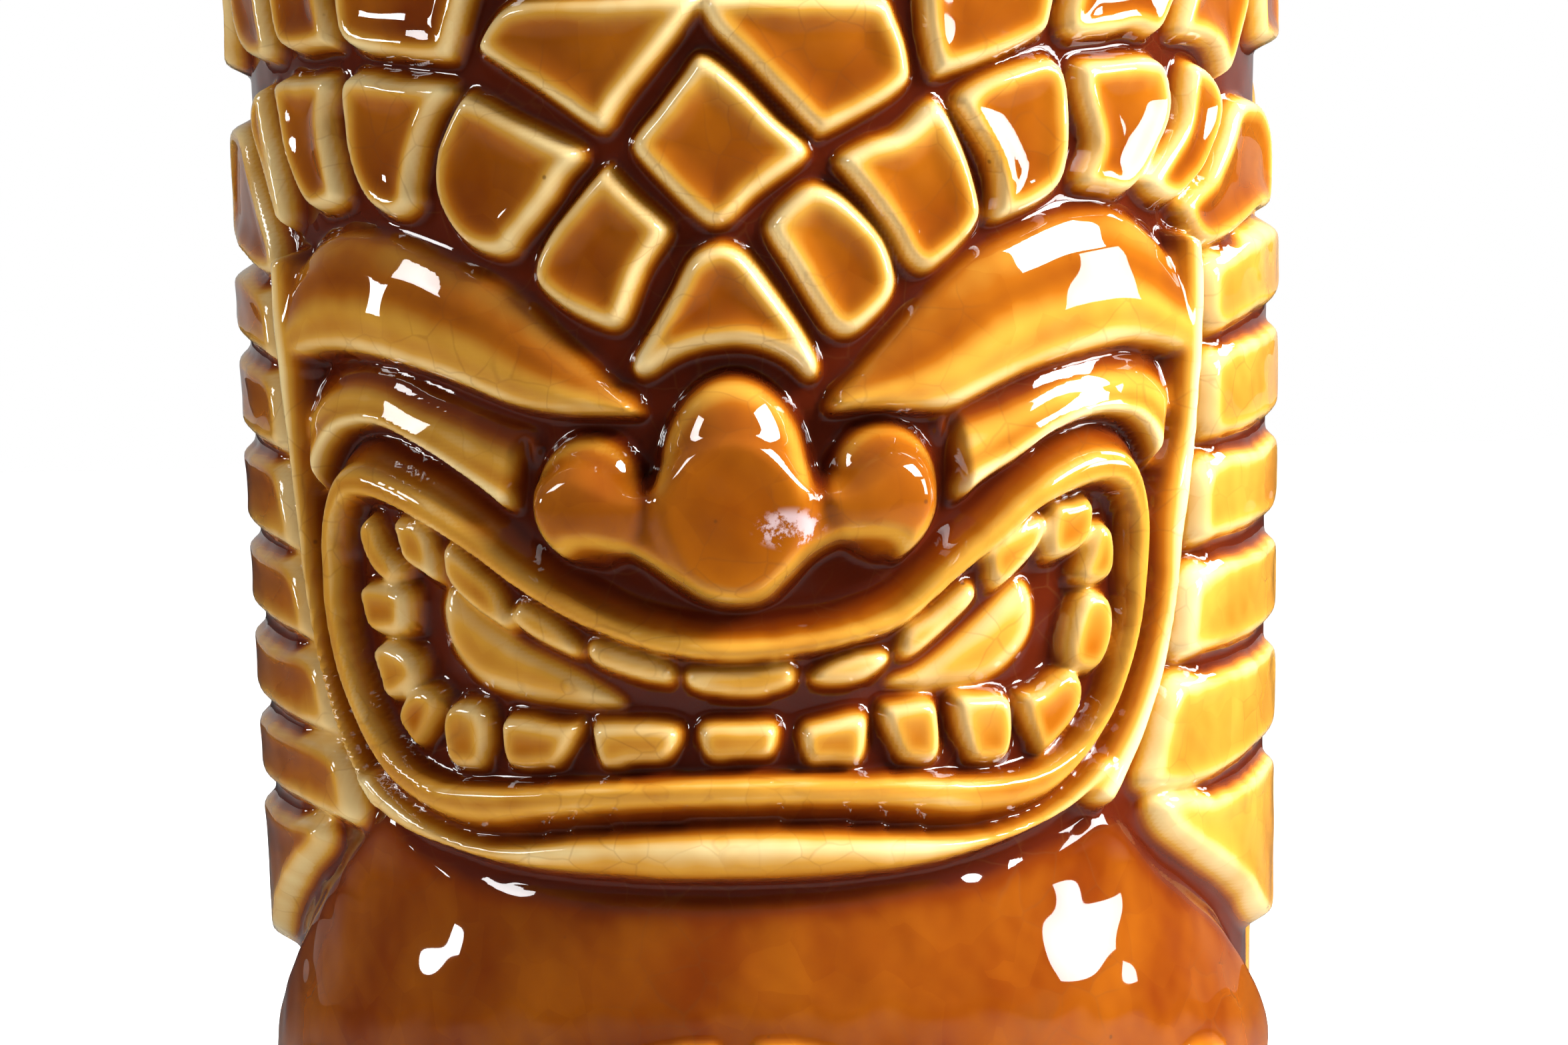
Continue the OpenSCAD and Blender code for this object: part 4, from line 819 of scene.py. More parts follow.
def finish_sheet(sheet):
    """Levels the sheet as a coat of glaze does; the glaze runs paler on ridges, and hollows darken with
    pooled glaze and painted shade.
    """
    s, z = np.meshgrid(sheet.s, sheet.z)
    sheet.height = np.maximum(levelled(sheet.height, LEVEL_HEIGHT), LEAST_HEIGHT)
    stands = sheet.height - levelled(sheet.height, LEVEL_WIDE)
    sheet.tone = levelled(sheet.tone, LEVEL_TONE)
    # Paler on ridges where the glaze thins; darker in hollows, partly pooled glaze and partly painted shade
    thinning_and_shade = np.clip(stands / 1.1, -1, 1)
    sheet.tone = sheet.tone - 0.10 * np.clip(thinning_and_shade, 0, 1) + 0.16 * np.clip(-thinning_and_shade, 0, 1)
    sheet.tone += 0.03 * ripple(s, z, 3, 14) + 0.01 * ripple(s, z, 4, 3.2)
    sheet.height += 0.025 * ripple(s, z, 5, 7)
    sheet.height = np.maximum(sheet.height, LEAST_HEIGHT)
    sheet.tone = np.clip(sheet.tone, 0, 1)
    radius = ground(z) + sheet.height
    turn = s / UNROLL_RADIUS
    sheet.place = np.stack([radius * np.sin(turn), -radius * np.cos(turn), z], -1)
    inner = ground(z) - TILE_DEPTH
    sheet.back = np.stack([inner * np.sin(turn), -inner * np.cos(turn), z], -1)
    wide = np.concatenate([sheet.place[:, -1:], sheet.place, sheet.place[:, :1]], 1)
    along_s = wide[:, 2:] - wide[:, :-2]
    along_z = np.gradient(sheet.place, axis=0)
    normal = np.cross(along_s, along_z)
    sheet.normal = normal / np.linalg.norm(normal, axis=-1, keepdims=True)


# ---- cutting the sheet into pieces ----


def cutting_lines(sheet):
    """The rows and columns that the pieces are cut on: all of them at the face, every third elsewhere."""
    columns = np.arange(COLUMNS)
    fine = np.abs(sheet.s) <= FINE_HALF_WIDTH
    columns = columns[fine | (columns % COARSE_STEP == 0)]
    rows = np.arange(ROWS)
    fine = (sheet.z >= FINE_LOW) & (sheet.z <= FINE_HIGH)
    rows = rows[fine | (rows % COARSE_STEP == 0) | (rows == ROWS - 1)]
    return rows, columns


def cell_owners(sheet, rows, columns):
    """The carving that owns each cell, with cells that touch only at a corner joined up."""
    owner = sheet.owner[np.ix_(rows, columns)][:-1].copy()
    for _ in range(4):
        a, b = owner[:-1], np.roll(owner, -1, 1)[:-1]
        c, d = owner[1:], np.roll(owner, -1, 1)[1:]
        crossed = ((a == d) & (b != a) & (c != a)) | ((b == c) & (a != b) & (d != b))
        if not crossed.any():
            break
        owner[:-1] = np.where(crossed, np.where(a == d, b, a), owner[:-1])
    return owner


def tile_mesh(name, sheet, node):
    """A closed shell over the cells that a carving owns.

    The outer face is the sheet, the inner face lies TILE_DEPTH under the
    plain wall, and a side wall stands on each edge that no other cell of the
    piece shares.
    """
    rows, columns = WORKSHOP.setdefault("lines", cutting_lines(sheet))
    owners = WORKSHOP.setdefault("owners", cell_owners(sheet, rows, columns))
    r, c = np.nonzero(owners == NODE_NAMES.index(node))
    if not len(r):
        raise RuntimeError("no part of the wall belongs to " + node)
    wide = len(columns)
    right = (c + 1) % wide
    quads = np.stack([r * wide + c, r * wide + right, (r + 1) * wide + right, (r + 1) * wide + c], 1)
    used, flat = np.unique(quads, return_inverse=True)
    quads = flat.reshape(-1, 4)
    count = len(used)
    start = quads.ravel()
    end = np.roll(quads, -1, 1).ravel()
    forward = start * count + end
    back = end * count + start
    open_edge = ~np.isin(forward, back)
    a, b = start[open_edge], end[open_edge]
    sides = np.stack([b, a, a + count, b + count], 1)
    faces = np.vstack([quads, quads[:, ::-1] + count, sides])
    grid = np.ix_(rows, columns)
    outer = sheet.place[grid].reshape(-1, 3)[used]
    inner = sheet.back[grid].reshape(-1, 3)[used]
    normal = sheet.normal[grid].reshape(-1, 3)[used]
    tone = sheet.tone[grid].reshape(-1)[used]
    mesh = quad_mesh(name, np.vstack([outer, inner]) * MM, faces)
    attach_tone(mesh, np.concatenate([tone, tone]))
    inward = (inner - outer) / np.linalg.norm(inner - outer, axis=1, keepdims=True)
    mesh.normals_split_custom_set_from_vertices(np.vstack([normal, inward]).tolist())
    return mesh


def quad_mesh(name, points, faces):
    """A mesh from an array of points and an array of four-cornered faces."""
    mesh = bpy.data.meshes.new(name)
    mesh.vertices.add(len(points))
    mesh.vertices.foreach_set("co", np.ascontiguousarray(points, np.float32).ravel())
    mesh.loops.add(faces.size)
    mesh.loops.foreach_set("vertex_index", np.ascontiguousarray(faces, np.int32).ravel())
    mesh.polygons.add(len(faces))
    mesh.polygons.foreach_set("loop_start", np.arange(0, faces.size, 4, dtype=np.int32))
    mesh.polygons.foreach_set("use_smooth", np.ones(len(faces), bool))
    mesh.update(calc_edges=True)
    mesh.validate()
    return mesh


def attach_tone(mesh, tone):
    """Stores the tone of glaze, with its painted shade, at each point, for the glaze to read."""
    layer = mesh.attributes.new("glaze_and_shade_tone", "FLOAT", "POINT")
    layer.data.foreach_set("value", np.ascontiguousarray(tone, np.float32))


def turned_mesh(name, profile, tones, sides=360):
    """A profile of (radius, z) carried round the axis and closed on itself.

    Point i of the profile at angle a stands at (r_i sin a, -r_i cos a, z_i).
    A profile that begins or ends on the axis is closed there by one point.
    """
    profile = np.asarray(profile, float)
    angle = np.arange(sides) / sides * 2 * math.pi
    radius, z = profile[:, :1], profile[:, 1:]
    points = np.stack([radius * np.sin(angle), -radius * np.cos(angle), z + 0 * angle], -1).reshape(-1, 3)
    n = len(profile)
    i, j = np.meshgrid(np.arange(n), np.arange(sides), indexing="ij")
    i2, j2 = (i + 1) % n, (j + 1) % sides
    faces = np.stack([i * sides + j, i * sides + j2, i2 * sides + j2, i2 * sides + j], -1).reshape(-1, 4)
    mesh = quad_mesh(name, points * MM, faces)
    attach_tone(mesh, np.repeat(np.asarray(tones, float), sides))
    return mesh


def arc(mid_r, mid_z, size_r, size_z, begin, end, count):
    """Points of an ellipse about (mid_r, mid_z) between two angles in degrees."""
    a = np.radians(np.linspace(begin, end, count))
    return np.stack([mid_r + size_r * np.cos(a), mid_z + size_z * np.sin(a)], 1)


def add_piece(name, mesh, material, slot, *nodes):
    """Links a finished mesh into the scene as a piece that rides on the cup and stands for these nodes."""
    piece = bpy.data.objects.new(name, mesh)
    mesh.materials.append(material)
    bpy.context.scene.collection.objects.link(piece)
    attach(piece, "root")
    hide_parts(*nodes)
    return piece


def lay_tiles(context, *names):
    """One piece of the carved wall for each named node."""
    sheet = carved_sheet(context)
    glaze = outer_glaze(context)
    for name in names:
        add_piece(name + "_relief", tile_mesh(name + "_relief", sheet, name), glaze, "outer_glaze", name)


# ---- materials ----

CRACK_BROWN = (0.10, 0.035, 0.01)
SPECK_BROWN = (0.05, 0.018, 0.008)
# A worn spot on the tip of the nose: its colour, middle and half sizes in millimetres
WORN_GREY = (0.42, 0.31, 0.31)
WORN_MIDDLE = (5.0, -42.2, 79.2)
WORN_SIZE = (3.0, 4.0, 1.7)


def place_node(tree, kind, inputs=None, **settings):
    """A node of this kind with its settings and the values of its inputs."""
    node = tree.nodes.new(kind)
    for key, value in settings.items():
        setattr(node, key, value)
    for key, value in (inputs or {}).items():
        if isinstance(value, bpy.types.NodeSocket):
            tree.links.new(value, node.inputs[key])
        else:
            node.inputs[key].default_value = value
    return node


def math_node(tree, operation, a, b=0.0, clamp=False):
    """The result of one sum of two values."""
    return place_node(tree, "ShaderNodeMath", {0: a, 1: b}, operation=operation, use_clamp=clamp).outputs[0]


def spread(tree, value, low, high, to_low=0.0, to_high=1.0):
    """A value carried smoothly from one range to another."""
    inputs = {"Value": value, "From Min": low, "From Max": high, "To Min": to_low, "To Max": to_high}
    return place_node(tree, "ShaderNodeMapRange", inputs, interpolation_type="SMOOTHSTEP").outputs["Result"]


def mix_colours(tree, share, first, second, blend="MIX"):
    """Two colours mixed by a share."""
    node = place_node(tree, "ShaderNodeMix", {"Factor": share}, data_type="RGBA", blend_type=blend)
    for socket, colour in ((node.inputs[6], first), (node.inputs[7], second)):
        if isinstance(colour, bpy.types.NodeSocket):
            tree.links.new(colour, socket)
        else:
            socket.default_value = (*colour, 1)
    return node.outputs[2]


def new_group(name, inputs, outputs):
    """An empty node group with these inputs and outputs, each (name, kind, default)."""
    tree = bpy.data.node_groups.new(name, "ShaderNodeTree")
    for label, kind, default in inputs:
        socket = tree.interface.new_socket(label, in_out="INPUT", socket_type=kind)
        if default is not None:
            socket.default_value = default
    for label, kind in outputs:
        tree.interface.new_socket(label, in_out="OUTPUT", socket_type=kind)
    return tree, tree.nodes.new("NodeGroupInput"), tree.nodes.new("NodeGroupOutput")


def crazing_group():
    """Fine cracks in the glaze, the slight change of tone from cell to cell, and its soft waviness."""
    name = "Glaze crazing"
    if name in bpy.data.node_groups:
        return bpy.data.node_groups[name]
    tree, start, end = new_group(
        name,
        [("Place", "NodeSocketVector", None), ("Cells per metre", "NodeSocketFloat", 310.0)],
        [("Cracks", "NodeSocketFloat"), ("Shift", "NodeSocketFloat"), ("Waves", "NodeSocketFloat")])
    place, cells = start.outputs[0], start.outputs[1]
    bend = place_node(tree, "ShaderNodeTexNoise", {"Vector": place, "Scale": 240.0, "Detail": 2.0})
    bent = place_node(tree, "ShaderNodeVectorMath", {0: bend.outputs["Color"], 1: (0.5, 0.5, 0.5)},
                      operation="SUBTRACT")
    bent = place_node(tree, "ShaderNodeVectorMath", {0: bent.outputs[0], "Scale": 0.0014}, operation="SCALE")
    bent = place_node(tree, "ShaderNodeVectorMath", {0: place, 1: bent.outputs[0]}, operation="ADD")
    bent = bent.outputs[0]
    edge = place_node(tree, "ShaderNodeTexVoronoi", {"Vector": bent, "Scale": cells},
                      feature="DISTANCE_TO_EDGE")
    cell = place_node(tree, "ShaderNodeTexVoronoi", {"Vector": bent, "Scale": cells})
    cracks = spread(tree, edge.outputs["Distance"], 0.0, 0.035, 1.0, 0.0)
    patchy = place_node(tree, "ShaderNodeTexNoise", {"Vector": place, "Scale": 90.0, "Detail": 2.0})
    shown = spread(tree, patchy.outputs["Fac"], 0.42, 0.62)
    grey = place_node(tree, "ShaderNodeSeparateColor", {0: cell.outputs["Color"]}).outputs[0]
    wave = place_node(tree, "ShaderNodeTexNoise", {"Vector": place, "Scale": 420.0, "Detail": 2.0,
                                                   "Roughness": 0.4})
    tree.links.new(math_node(tree, "MULTIPLY", cracks, shown), end.inputs["Cracks"])
    tree.links.new(math_node(tree, "SUBTRACT", grey, 0.5), end.inputs["Shift"])
    tree.links.new(wave.outputs["Fac"], end.inputs["Waves"])
    return tree


def speck_group():
    """Small iron specks scattered through clay or glaze."""
    name = "Iron specks"
    if name in bpy.data.node_groups:
        return bpy.data.node_groups[name]
    tree, start, end = new_group(
        name,
        [("Place", "NodeSocketVector", None), ("Specks per metre", "NodeSocketFloat", 420.0)],
        [("Specks", "NodeSocketFloat")])
    place, many = start.outputs[0], start.outputs[1]
    spots = place_node(tree, "ShaderNodeTexVoronoi", {"Vector": place, "Scale": many})
    chance = place_node(tree, "ShaderNodeSeparateColor", {0: spots.outputs["Color"]}).outputs[0]
    dot = spread(tree, spots.outputs["Distance"], 0.03, 0.10, 1.0, 0.0)
    kept = spread(tree, chance, 0.86, 0.9)
    tree.links.new(math_node(tree, "MULTIPLY", dot, kept), end.inputs["Specks"])
    return tree


def new_material(name):
    """An empty material, its node tree, its Principled shader and its object coordinates."""
    material = bpy.data.materials.new(name)
    material.use_nodes = True
    tree = material.node_tree
    tree.nodes.clear()
    shader = tree.nodes.new("ShaderNodeBsdfPrincipled")
    result = tree.nodes.new("ShaderNodeOutputMaterial")
    tree.links.new(shader.outputs[0], result.inputs["Surface"])
    place = tree.nodes.new("ShaderNodeTexCoord").outputs["Object"]
    return material, tree, shader, place


def patch(tree, place, middle, size):
    """A soft spot, 1 in its middle and 0 past an ellipsoid of these half sizes in millimetres."""
    away = place_node(tree, "ShaderNodeVectorMath", {0: place, 1: [v * MM for v in middle]},
                      operation="SUBTRACT")
    share = place_node(tree, "ShaderNodeVectorMath", {0: away.outputs[0], 1: [v * MM for v in size]},
                       operation="DIVIDE")
    reach = place_node(tree, "ShaderNodeVectorMath", {0: share.outputs[0]}, operation="LENGTH")
    return spread(tree, reach.outputs["Value"], 0.5, 1.0, 1.0, 0.0)


def glaze_shine(shader, roughness, coat):
    """The clear coat that gives the glaze all of its shine, over its colour."""
    shader.inputs["Roughness"].default_value = roughness
    shader.inputs["IOR"].default_value = 1.5
    shader.inputs["Specular IOR Level"].default_value = 0.0
    shader.inputs["Coat Weight"].default_value = coat
    shader.inputs["Coat Roughness"].default_value = 0.025
    shader.inputs["Coat IOR"].default_value = 1.5


def outer_glaze(context):
    """Amber glaze: pale to dark with glaze_and_shade_tone, crossed by crazing and dotted with specks."""
    name = "Amber glaze"
    if name in bpy.data.materials:
        return bpy.data.materials[name]
    glaze = context.scene.tiki_glaze
    material, tree, shader, place = new_material(name)
    tone = place_node(tree, "ShaderNodeAttribute", attribute_name="glaze_and_shade_tone").outputs["Fac"]
    craze = place_node(tree, "ShaderNodeGroup", node_tree=crazing_group())
    tree.links.new(place, craze.inputs["Place"])
    craze.inputs["Cells per metre"].default_value = 1 / glaze.craze_cell
    specks = place_node(tree, "ShaderNodeGroup", node_tree=speck_group())
    tree.links.new(place, specks.inputs["Place"])
    cloud = place_node(tree, "ShaderNodeTexNoise", {"Vector": place, "Scale": 170.0, "Detail": 4.0})
    drift = math_node(tree, "MULTIPLY", math_node(tree, "SUBTRACT", cloud.outputs["Fac"], 0.5), 0.12)
    cells = math_node(tree, "MULTIPLY", craze.outputs["Shift"], 0.035)
    tone = math_node(tree, "ADD", math_node(tree, "ADD", tone, drift), cells, clamp=True)
    ramp = place_node(tree, "ShaderNodeValToRGB", {"Fac": tone})
    stops = [(0.04, glaze.pale), (0.28, glaze.golden), (0.52, glaze.amber), (0.76, glaze.brown),
             (0.96, glaze.dark)]
    while len(ramp.color_ramp.elements) < len(stops):
        ramp.color_ramp.elements.new(0.5)
    for element, (spot, colour) in zip(ramp.color_ramp.elements, stops):
        element.position = spot
        element.color = (*colour, 1)
    cracks = math_node(tree, "MULTIPLY", craze.outputs["Cracks"], 0.22)
    colour = mix_colours(tree, cracks, ramp.outputs["Color"], CRACK_BROWN)
    dots = math_node(tree, "MULTIPLY", specks.outputs["Specks"], 0.6)
    colour = mix_colours(tree, dots, colour, SPECK_BROWN)
    wear = patch(tree, place, WORN_MIDDLE, WORN_SIZE)
    flecks = place_node(tree, "ShaderNodeTexNoise", {"Vector": place, "Scale": 520.0, "Detail": 7.0,
                                                     "Roughness": 0.68})
    rough = spread(tree, flecks.outputs["Fac"], 0.47, 0.55)
    wear = math_node(tree, "MULTIPLY", math_node(tree, "MULTIPLY", wear, rough), 0.85)
    colour = mix_colours(tree, wear, colour, WORN_GREY)
    tree.links.new(colour, shader.inputs["Base Color"])
    bump = place_node(tree, "ShaderNodeBump", {"Height": craze.outputs["Waves"], "Strength": 0.35,
                                               "Distance": 0.00008})
    tree.links.new(bump.outputs["Normal"], shader.inputs["Normal"])
    glaze_shine(shader, 0.38, 1.0)
    return material


def liner_glaze(context):
    """The thinner even glaze inside the cup."""
    name = "Liner glaze"
    if name in bpy.data.materials:
        return bpy.data.materials[name]
    glaze = context.scene.tiki_glaze
    material, tree, shader, place = new_material(name)
    craze = place_node(tree, "ShaderNodeGroup", node_tree=crazing_group())
    tree.links.new(place, craze.inputs["Place"])
    cloud = place_node(tree, "ShaderNodeTexNoise", {"Vector": place, "Scale": 60.0, "Detail": 4.0})
    colour = mix_colours(tree, spread(tree, cloud.outputs["Fac"], 0.3, 0.7), tuple(glaze.liner),
                         tuple(c * 0.62 for c in glaze.liner))
    colour = mix_colours(tree, math_node(tree, "MULTIPLY", craze.outputs["Cracks"], 0.3), colour,
                         (0.08, 0.03, 0.01))
    tree.links.new(colour, shader.inputs["Base Color"])
    glaze_shine(shader, 0.3, 1.0)
    return material


def bare_clay(context):
    """Fired clay without glaze: dry, grainy and specked, a little browner in patches."""
    name = "Bare clay"
    if name in bpy.data.materials:
        return bpy.data.materials[name]
    clay = tuple(context.scene.tiki_glaze.clay)
    material, tree, shader, place = new_material(name)
    cloud = place_node(tree, "ShaderNodeTexNoise", {"Vector": place, "Scale": 110.0, "Detail": 5.0})
    grain = place_node(tree, "ShaderNodeTexNoise", {"Vector": place, "Scale": 2600.0, "Detail": 3.0})
    specks = place_node(tree, "ShaderNodeGroup", node_tree=speck_group())
    tree.links.new(place, specks.inputs["Place"])
    colour = mix_colours(tree, spread(tree, cloud.outputs["Fac"], 0.35, 0.65), clay,
                         (clay[0] * 0.75, clay[1] * 0.68, clay[2] * 0.6))
    colour = mix_colours(tree, specks.outputs["Specks"], colour, (0.12, 0.06, 0.03))
    tree.links.new(colour, shader.inputs["Base Color"])
    bump = place_node(tree, "ShaderNodeBump", {"Height": grain.outputs["Fac"], "Strength": 0.5,
                                               "Distance": 0.00012})
    tree.links.new(bump.outputs["Normal"], shader.inputs["Normal"])
    shader.inputs["Roughness"].default_value = 0.85
    return material


# ---- the operators ----


class TIKI_OT_cup(bpy.types.Operator):
    """Builds the clay wall, the open grooves of the carving, and the finish of the floor and the foot"""

    bl_idname = "tiki.cup"
    bl_label = "Cup wall and foot"

    def execute(self, context):
        top = CARVE_HIGH
        low = CARVE_LOW + FLOOR_THICK
        profile = [(ground(low) - WALL_THICK, low), (ground(low) - TILE_DEPTH, low),
                   (ground(top) - TILE_DEPTH, top), (ground(top) - WALL_THICK, top)]
        mesh = turned_mesh("cup_wall_body", profile, [0.6] * len(profile), 180)
        add_piece("cup_wall_body", mesh, bare_clay(context), "outer_glaze", "cup_wall")
        lay_tiles(context, GROUNDWORK)
        for node in ("cup_floor", "foot_ring"):
            dress_node(node, bare_clay(context))
        return {"FINISHED"}


def dress_node(node, material):
    """Gives a CAD part that stays in view its new finish."""
    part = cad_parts[node]
    if not part.data.materials:
        part.data.materials.append(material)
    for spot in part.material_slots:
        spot.material = material


class TIKI_OT_rim(bpy.types.Operator):
    """Builds the plain band at the rim with its rounded lip"""

    bl_idname = "tiki.rim"
    bl_label = "Rim"

    def execute(self, context):
        inner = ground(MUG_HEIGHT) - WALL_THICK
        outer = RIM_RADIUS
        lip = (outer - inner) / 2
        low = CARVE_HIGH
        shoulder = arc(ground(low) + 0.1, low + 1.6, outer - ground(low) - 0.1, 1.6, -90, 0, 9)
        profile = np.vstack([[ground(low) - WALL_THICK, low], shoulder,
                             arc(inner + lip, MUG_HEIGHT - lip, lip, lip, 0, 180, 25)])
        tones = np.concatenate([[0.6], np.linspace(0.9, 0.42, 9), np.linspace(0.42, 0.12, 13),
                                np.linspace(0.12, 0.5, 12)])
        add_piece("rim_band_turned", turned_mesh("rim_band_turned", profile, tones), outer_glaze(context),
                  "outer_glaze", "rim_band")
        return {"FINISHED"}


class TIKI_OT_liner(bpy.types.Operator):
    """Builds the coat of glaze inside the cup, rounded where the wall meets the floor"""

    bl_idname = "tiki.liner"
    bl_label = "Inner glaze"

    def execute(self, context):
        base = CARVE_LOW + FLOOR_THICK
        skin = LINER_THICK
        top = CARVE_HIGH
        corner = 5.0
        wall_low = ground(base) - WALL_THICK
        turn = arc(wall_low - skin - corner, base + skin + corner, corner, corner, 0, -90, 13)
        profile = np.vstack([[0.02, base], [wall_low, base], [ground(top) - WALL_THICK, top],
                             [ground(top) - WALL_THICK - skin, top], turn, [0.02, base + skin]])
        mesh = turned_mesh("inner_glaze_coat", profile, [0.4] * len(profile), 180)
        add_piece("inner_glaze_coat", mesh, liner_glaze(context), "liner_glaze", "inner_glaze")
        return {"FINISHED"}


class CutsTiles:
    """What the operators below share: each cuts the pieces of its nodes from the sheet."""

    nodes = ()

    def execute(self, context):
        lay_tiles(context, *self.nodes)
        return {"FINISHED"}


class TIKI_OT_headdress(CutsTiles, bpy.types.Operator):
    """Cuts the crown row, the row of blocks under it and the two wings"""

    bl_idname = "tiki.headdress"
    bl_label = "Headdress"

    nodes = ("crown_row", "headdress_row", "headdress_wings")


class TIKI_OT_brow(CutsTiles, bpy.types.Operator):
    """Cuts the diamond, the brow blocks and the triangle over the nose"""

    bl_idname = "tiki.brow"
    bl_label = "Brow"

    nodes = ("brow_diamond", "brow_row_left", "brow_row_right", "brow_triangle")


class TIKI_OT_face(CutsTiles, bpy.types.Operator):
    """Cuts the eyes, cheeks, nose, jaws and chin"""

    bl_idname = "tiki.face"
    bl_label = "Face"

    nodes = ("eye_left", "eye_right", "cheek_left", "cheek_right", "nose", "jaw_left", "jaw_right", "chin")


class TIKI_OT_mouth(CutsTiles, bpy.types.Operator):
    """Cuts the lips, the teeth and the two lobes of the tongue"""

    bl_idname = "tiki.mouth"
    bl_label = "Mouth"

    nodes = ("mouth_frame", "upper_teeth", "lower_teeth", "tongue_left", "tongue_right")


class TIKI_OT_hair(CutsTiles, bpy.types.Operator):
    """Cuts the braids beside the face and the locks down the back"""

    bl_idname = "tiki.hair"
    bl_label = "Braids and back hair"

    nodes = ("braid_left", "braid_right", "back_hair")


class TIKI_OT_figure(CutsTiles, bpy.types.Operator):
    """Cuts the chest, the arms and hands, and the legs and feet"""

    bl_idname = "tiki.figure"
    bl_label = "Body and limbs"

    nodes = ("chest", "arm_left", "arm_right", "hand_left", "hand_right", "leg_left", "leg_right",
             "foot_left", "foot_right")


# ---- the stage ----

CAMERA_TURN = 4.0
CAMERA_RISE = 3.0
CAMERA_ROLL = -1.39
CAMERA_AWAY = 450.0
CAMERA_HEIGHT = 77.5
CAMERA_SIDE = 1.58
LENS = 135.0

# Strength of the surround: all round, then what is added behind the mug, behind it as the glaze
# reflects it, and overhead
SURROUND_FRONT = 0.06
SURROUND_BACK = 0.35
SURROUND_SHINE = 0.3
SURROUND_TOP = 0.10

# Each light's name, turn and rise in degrees, distance and size in metres, and power in watts
LIGHTS = [
    ("Right light", 70, 38, 0.75, (0.38, 0.34), 3.4),
    ("Left light", -66, 33, 0.75, (0.18, 0.2), 0.32),
    ("Low left light", -80, 10, 0.75, (0.14, 0.1), 0.16),
    ("Right strip", 130, 42, 0.8, (0.25, 0.3), 1.0),
    ("Low right light", 82, 12, 0.75, (0.3, 0.24), 0.75)]
LIGHT_SPREAD = 70
LIGHT_AIM = 80.0

FLOOR_HALF = 2.0
# Share by which the floor turns dark where the glaze reflects it, so that the grooves stay dark
FLOOR_DIMMED = 0.93


def soft_box(name, turn, rise, away, size, power):
    """A rectangular soft light at a turn and a rise in degrees from the front, aimed at the mug."""
    data = bpy.data.lights.new(name, "AREA")
    data.shape = "RECTANGLE"
    data.size, data.size_y = size
    data.energy = power
    data.spread = math.radians(LIGHT_SPREAD)
    light = bpy.data.objects.new(name, data)
    bpy.context.scene.collection.objects.link(light)
    a, e = math.radians(turn), math.radians(rise)
    way = Vector((math.sin(a) * math.cos(e), -math.cos(a) * math.cos(e), math.sin(e)))
    light.location = Vector((0, 0, LIGHT_AIM * MM)) + way * away
    light.rotation_mode = "QUATERNION"
    light.rotation_quaternion = way.to_track_quat("Z", "Y")
    return light


def studio_world():
    """White where the camera looks past the mug, and a dimmer soft surround for the light on it."""
    world = bpy.data.worlds.new("Studio")
    world.use_nodes = True
    tree = world.node_tree
    tree.nodes.clear()
    path = tree.nodes.new("ShaderNodeLightPath")
    way = tree.nodes.new("ShaderNodeTexCoord").outputs["Generated"]
    parts = place_node(tree, "ShaderNodeSeparateXYZ", {0: way})
    shine = math_node(tree, "MULTIPLY", path.outputs["Is Glossy Ray"], SURROUND_SHINE - SURROUND_BACK)
    behind = math_node(tree, "ADD", shine, SURROUND_BACK)
    behind = math_node(tree, "MULTIPLY", spread(tree, parts.outputs["Y"], 0.3, 0.95), behind)
    front = math_node(tree, "ADD", behind, SURROUND_FRONT)
    over = spread(tree, parts.outputs["Z"], 0.1, 0.9, 0.0, SURROUND_TOP)
    soft = place_node(tree, "ShaderNodeBackground", {"Strength": math_node(tree, "ADD", front, over)})
    plain = place_node(tree, "ShaderNodeBackground", {"Strength": 1.0})
    for light in (soft, plain):
        light.inputs["Color"].default_value = (1, 1, 1, 1)
    both = place_node(tree, "ShaderNodeMixShader", {0: path.outputs["Is Camera Ray"], 1: soft.outputs[0],
                                                    2: plain.outputs[0]})
    result = place_node(tree, "ShaderNodeOutputWorld", {"Surface": both.outputs[0]})
    result.is_active_output = True
    bpy.context.scene.world = world


class TIKI_OT_stage(bpy.types.Operator):
    """Makes the plain pale floor, the soft studio light and the camera"""

    bl_idname = "tiki.stage"
    bl_label = "Floor, light and camera"

    def execute(self, context):
        half = FLOOR_HALF
        mesh = bpy.data.meshes.new("floor")
        mesh.from_pydata([(-half, -half, 0), (half, -half, 0), (half, half, 0), (-half, half, 0)], [],
                         [(0, 1, 2, 3)])
        material, tree, shader, place = new_material("Pale floor")
        cloud = place_node(tree, "ShaderNodeTexNoise", {"Vector": place, "Scale": 6.0})
        colour = mix_colours(tree, cloud.outputs["Fac"], (0.84, 0.84, 0.84), (0.88, 0.88, 0.88))
        path = tree.nodes.new("ShaderNodeLightPath")
        in_glaze = math_node(tree, "MULTIPLY", path.outputs["Is Glossy Ray"], FLOOR_DIMMED)
        colour = mix_colours(tree, in_glaze, colour, (0.05, 0.05, 0.05))
        tree.links.new(colour, shader.inputs["Base Color"])
        # Painted light: to the camera the floor glows, at 0.42 within 0.1 m of the mug's middle and rising to
        # full white by 0.32 m
        away = place_node(tree, "ShaderNodeVectorMath", {0: place}, operation="LENGTH").outputs["Value"]
        painted_floor_glow = spread(tree, away, 0.10, 0.32, 0.42, 1.0)
        painted_floor_glow = math_node(tree, "MULTIPLY", painted_floor_glow, path.outputs["Is Camera Ray"])
        tree.links.new(mix_colours(tree, painted_floor_glow, (0, 0, 0), (1, 1, 1)), shader.inputs["Emission Color"])
        shader.inputs["Emission Strength"].default_value = 1.0
        shader.inputs["Roughness"].default_value = 0.9
        mesh.materials.append(material)
        floor = bpy.data.objects.new("floor", mesh)
        context.scene.collection.objects.link(floor)
        for light in LIGHTS:
            soft_box(*light)
        studio_world()
        context.scene.view_settings.view_transform = "Standard"
        set_camera(context)
        return {"FINISHED"}


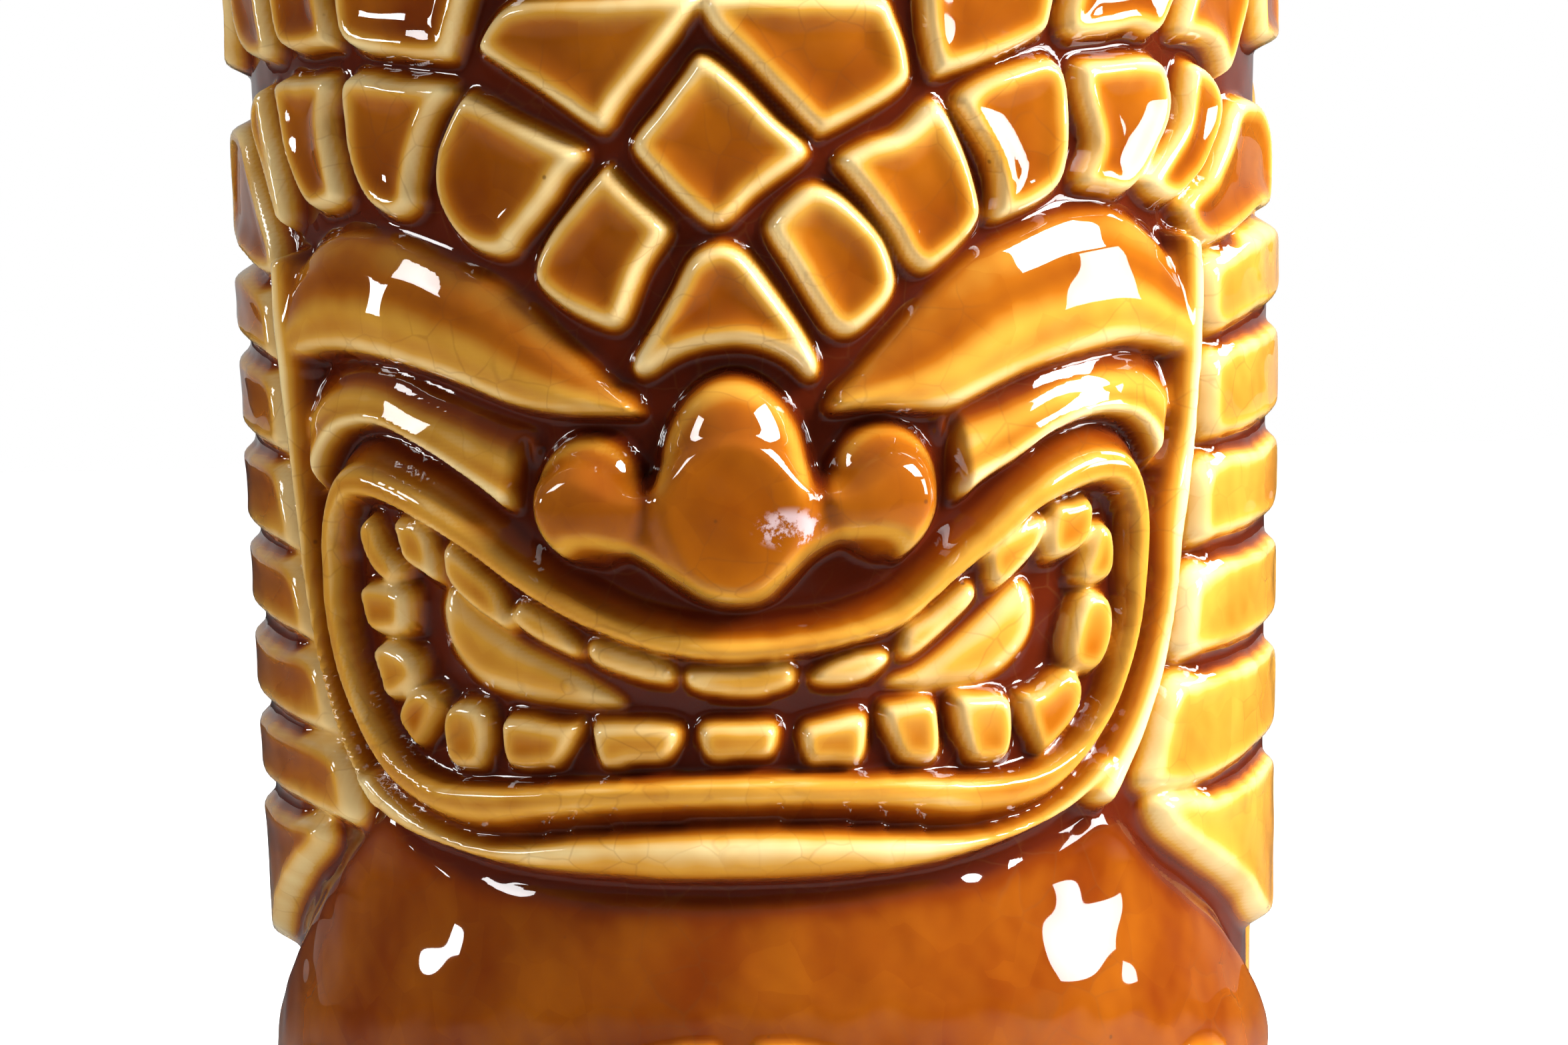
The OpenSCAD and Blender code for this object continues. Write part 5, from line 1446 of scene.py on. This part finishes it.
def set_camera(context):
    """Looks level at the face from the front right, a little above it and tipped a little to one side."""
    data = bpy.data.cameras.new("Camera")
    data.lens = LENS
    data.sensor_width = 36.0
    data.clip_start = 0.01
    data.dof.use_dof = False
    camera = bpy.data.objects.new("Camera", data)
    context.scene.collection.objects.link(camera)
    a, e, roll = (math.radians(v) for v in (CAMERA_TURN, CAMERA_RISE, CAMERA_ROLL))
    back = Vector((math.sin(a) * math.cos(e), -math.cos(a) * math.cos(e), math.sin(e)))
    right = (-back).cross(Vector((0, 0, 1))).normalized()
    up = right.cross(-back)
    up = up * math.cos(roll) - right * math.sin(roll)
    right = (-back).cross(up)
    place = (Vector((0, 0, CAMERA_HEIGHT)) + right * CAMERA_SIDE + back * CAMERA_AWAY) * MM
    camera.matrix_world = Matrix((right, up, back)).transposed().to_4x4()
    camera.location = place
    context.scene.camera = camera


OPERATORS = (TIKI_OT_cup, TIKI_OT_rim, TIKI_OT_liner, TIKI_OT_headdress, TIKI_OT_brow, TIKI_OT_face,
             TIKI_OT_mouth, TIKI_OT_hair, TIKI_OT_figure, TIKI_OT_stage)


class VIEW3D_PT_tiki_mug(bpy.types.Panel):
    """Lists the pieces of the mug and the stage"""

    bl_label = "Tiki Mug"
    bl_idname = "VIEW3D_PT_tiki_mug"
    bl_space_type = "VIEW_3D"
    bl_region_type = "UI"
    bl_category = "Tiki Mug"

    def draw(self, context):
        for settings in (context.scene.tiki_carving, context.scene.tiki_glaze):
            box = self.layout.box()
            for key in type(settings).__annotations__:
                box.prop(settings, key)
        for operator in OPERATORS:
            self.layout.operator(operator.bl_idname)


CLASSES = (TikiCarvingSettings, TikiGlazeSettings, *OPERATORS, VIEW3D_PT_tiki_mug)


def register():
    """Registers the classes and hangs the settings on the scene."""
    for item in CLASSES:
        bpy.utils.register_class(item)
    bpy.types.Scene.tiki_carving = bpy.props.PointerProperty(type=TikiCarvingSettings)
    bpy.types.Scene.tiki_glaze = bpy.props.PointerProperty(type=TikiGlazeSettings)


def unregister():
    """Takes the settings and the classes away again."""
    del bpy.types.Scene.tiki_glaze
    del bpy.types.Scene.tiki_carving
    for item in reversed(CLASSES):
        bpy.utils.unregister_class(item)


def main():
    """Builds the mug and its stage."""
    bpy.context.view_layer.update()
    register()
    bpy.ops.tiki.cup()
    bpy.ops.tiki.rim()
    bpy.ops.tiki.liner()
    bpy.ops.tiki.headdress()
    bpy.ops.tiki.brow()
    bpy.ops.tiki.face()
    bpy.ops.tiki.mouth()
    bpy.ops.tiki.hair()
    bpy.ops.tiki.figure()
    bpy.ops.tiki.stage()


if __name__ == "__main__":
    main()
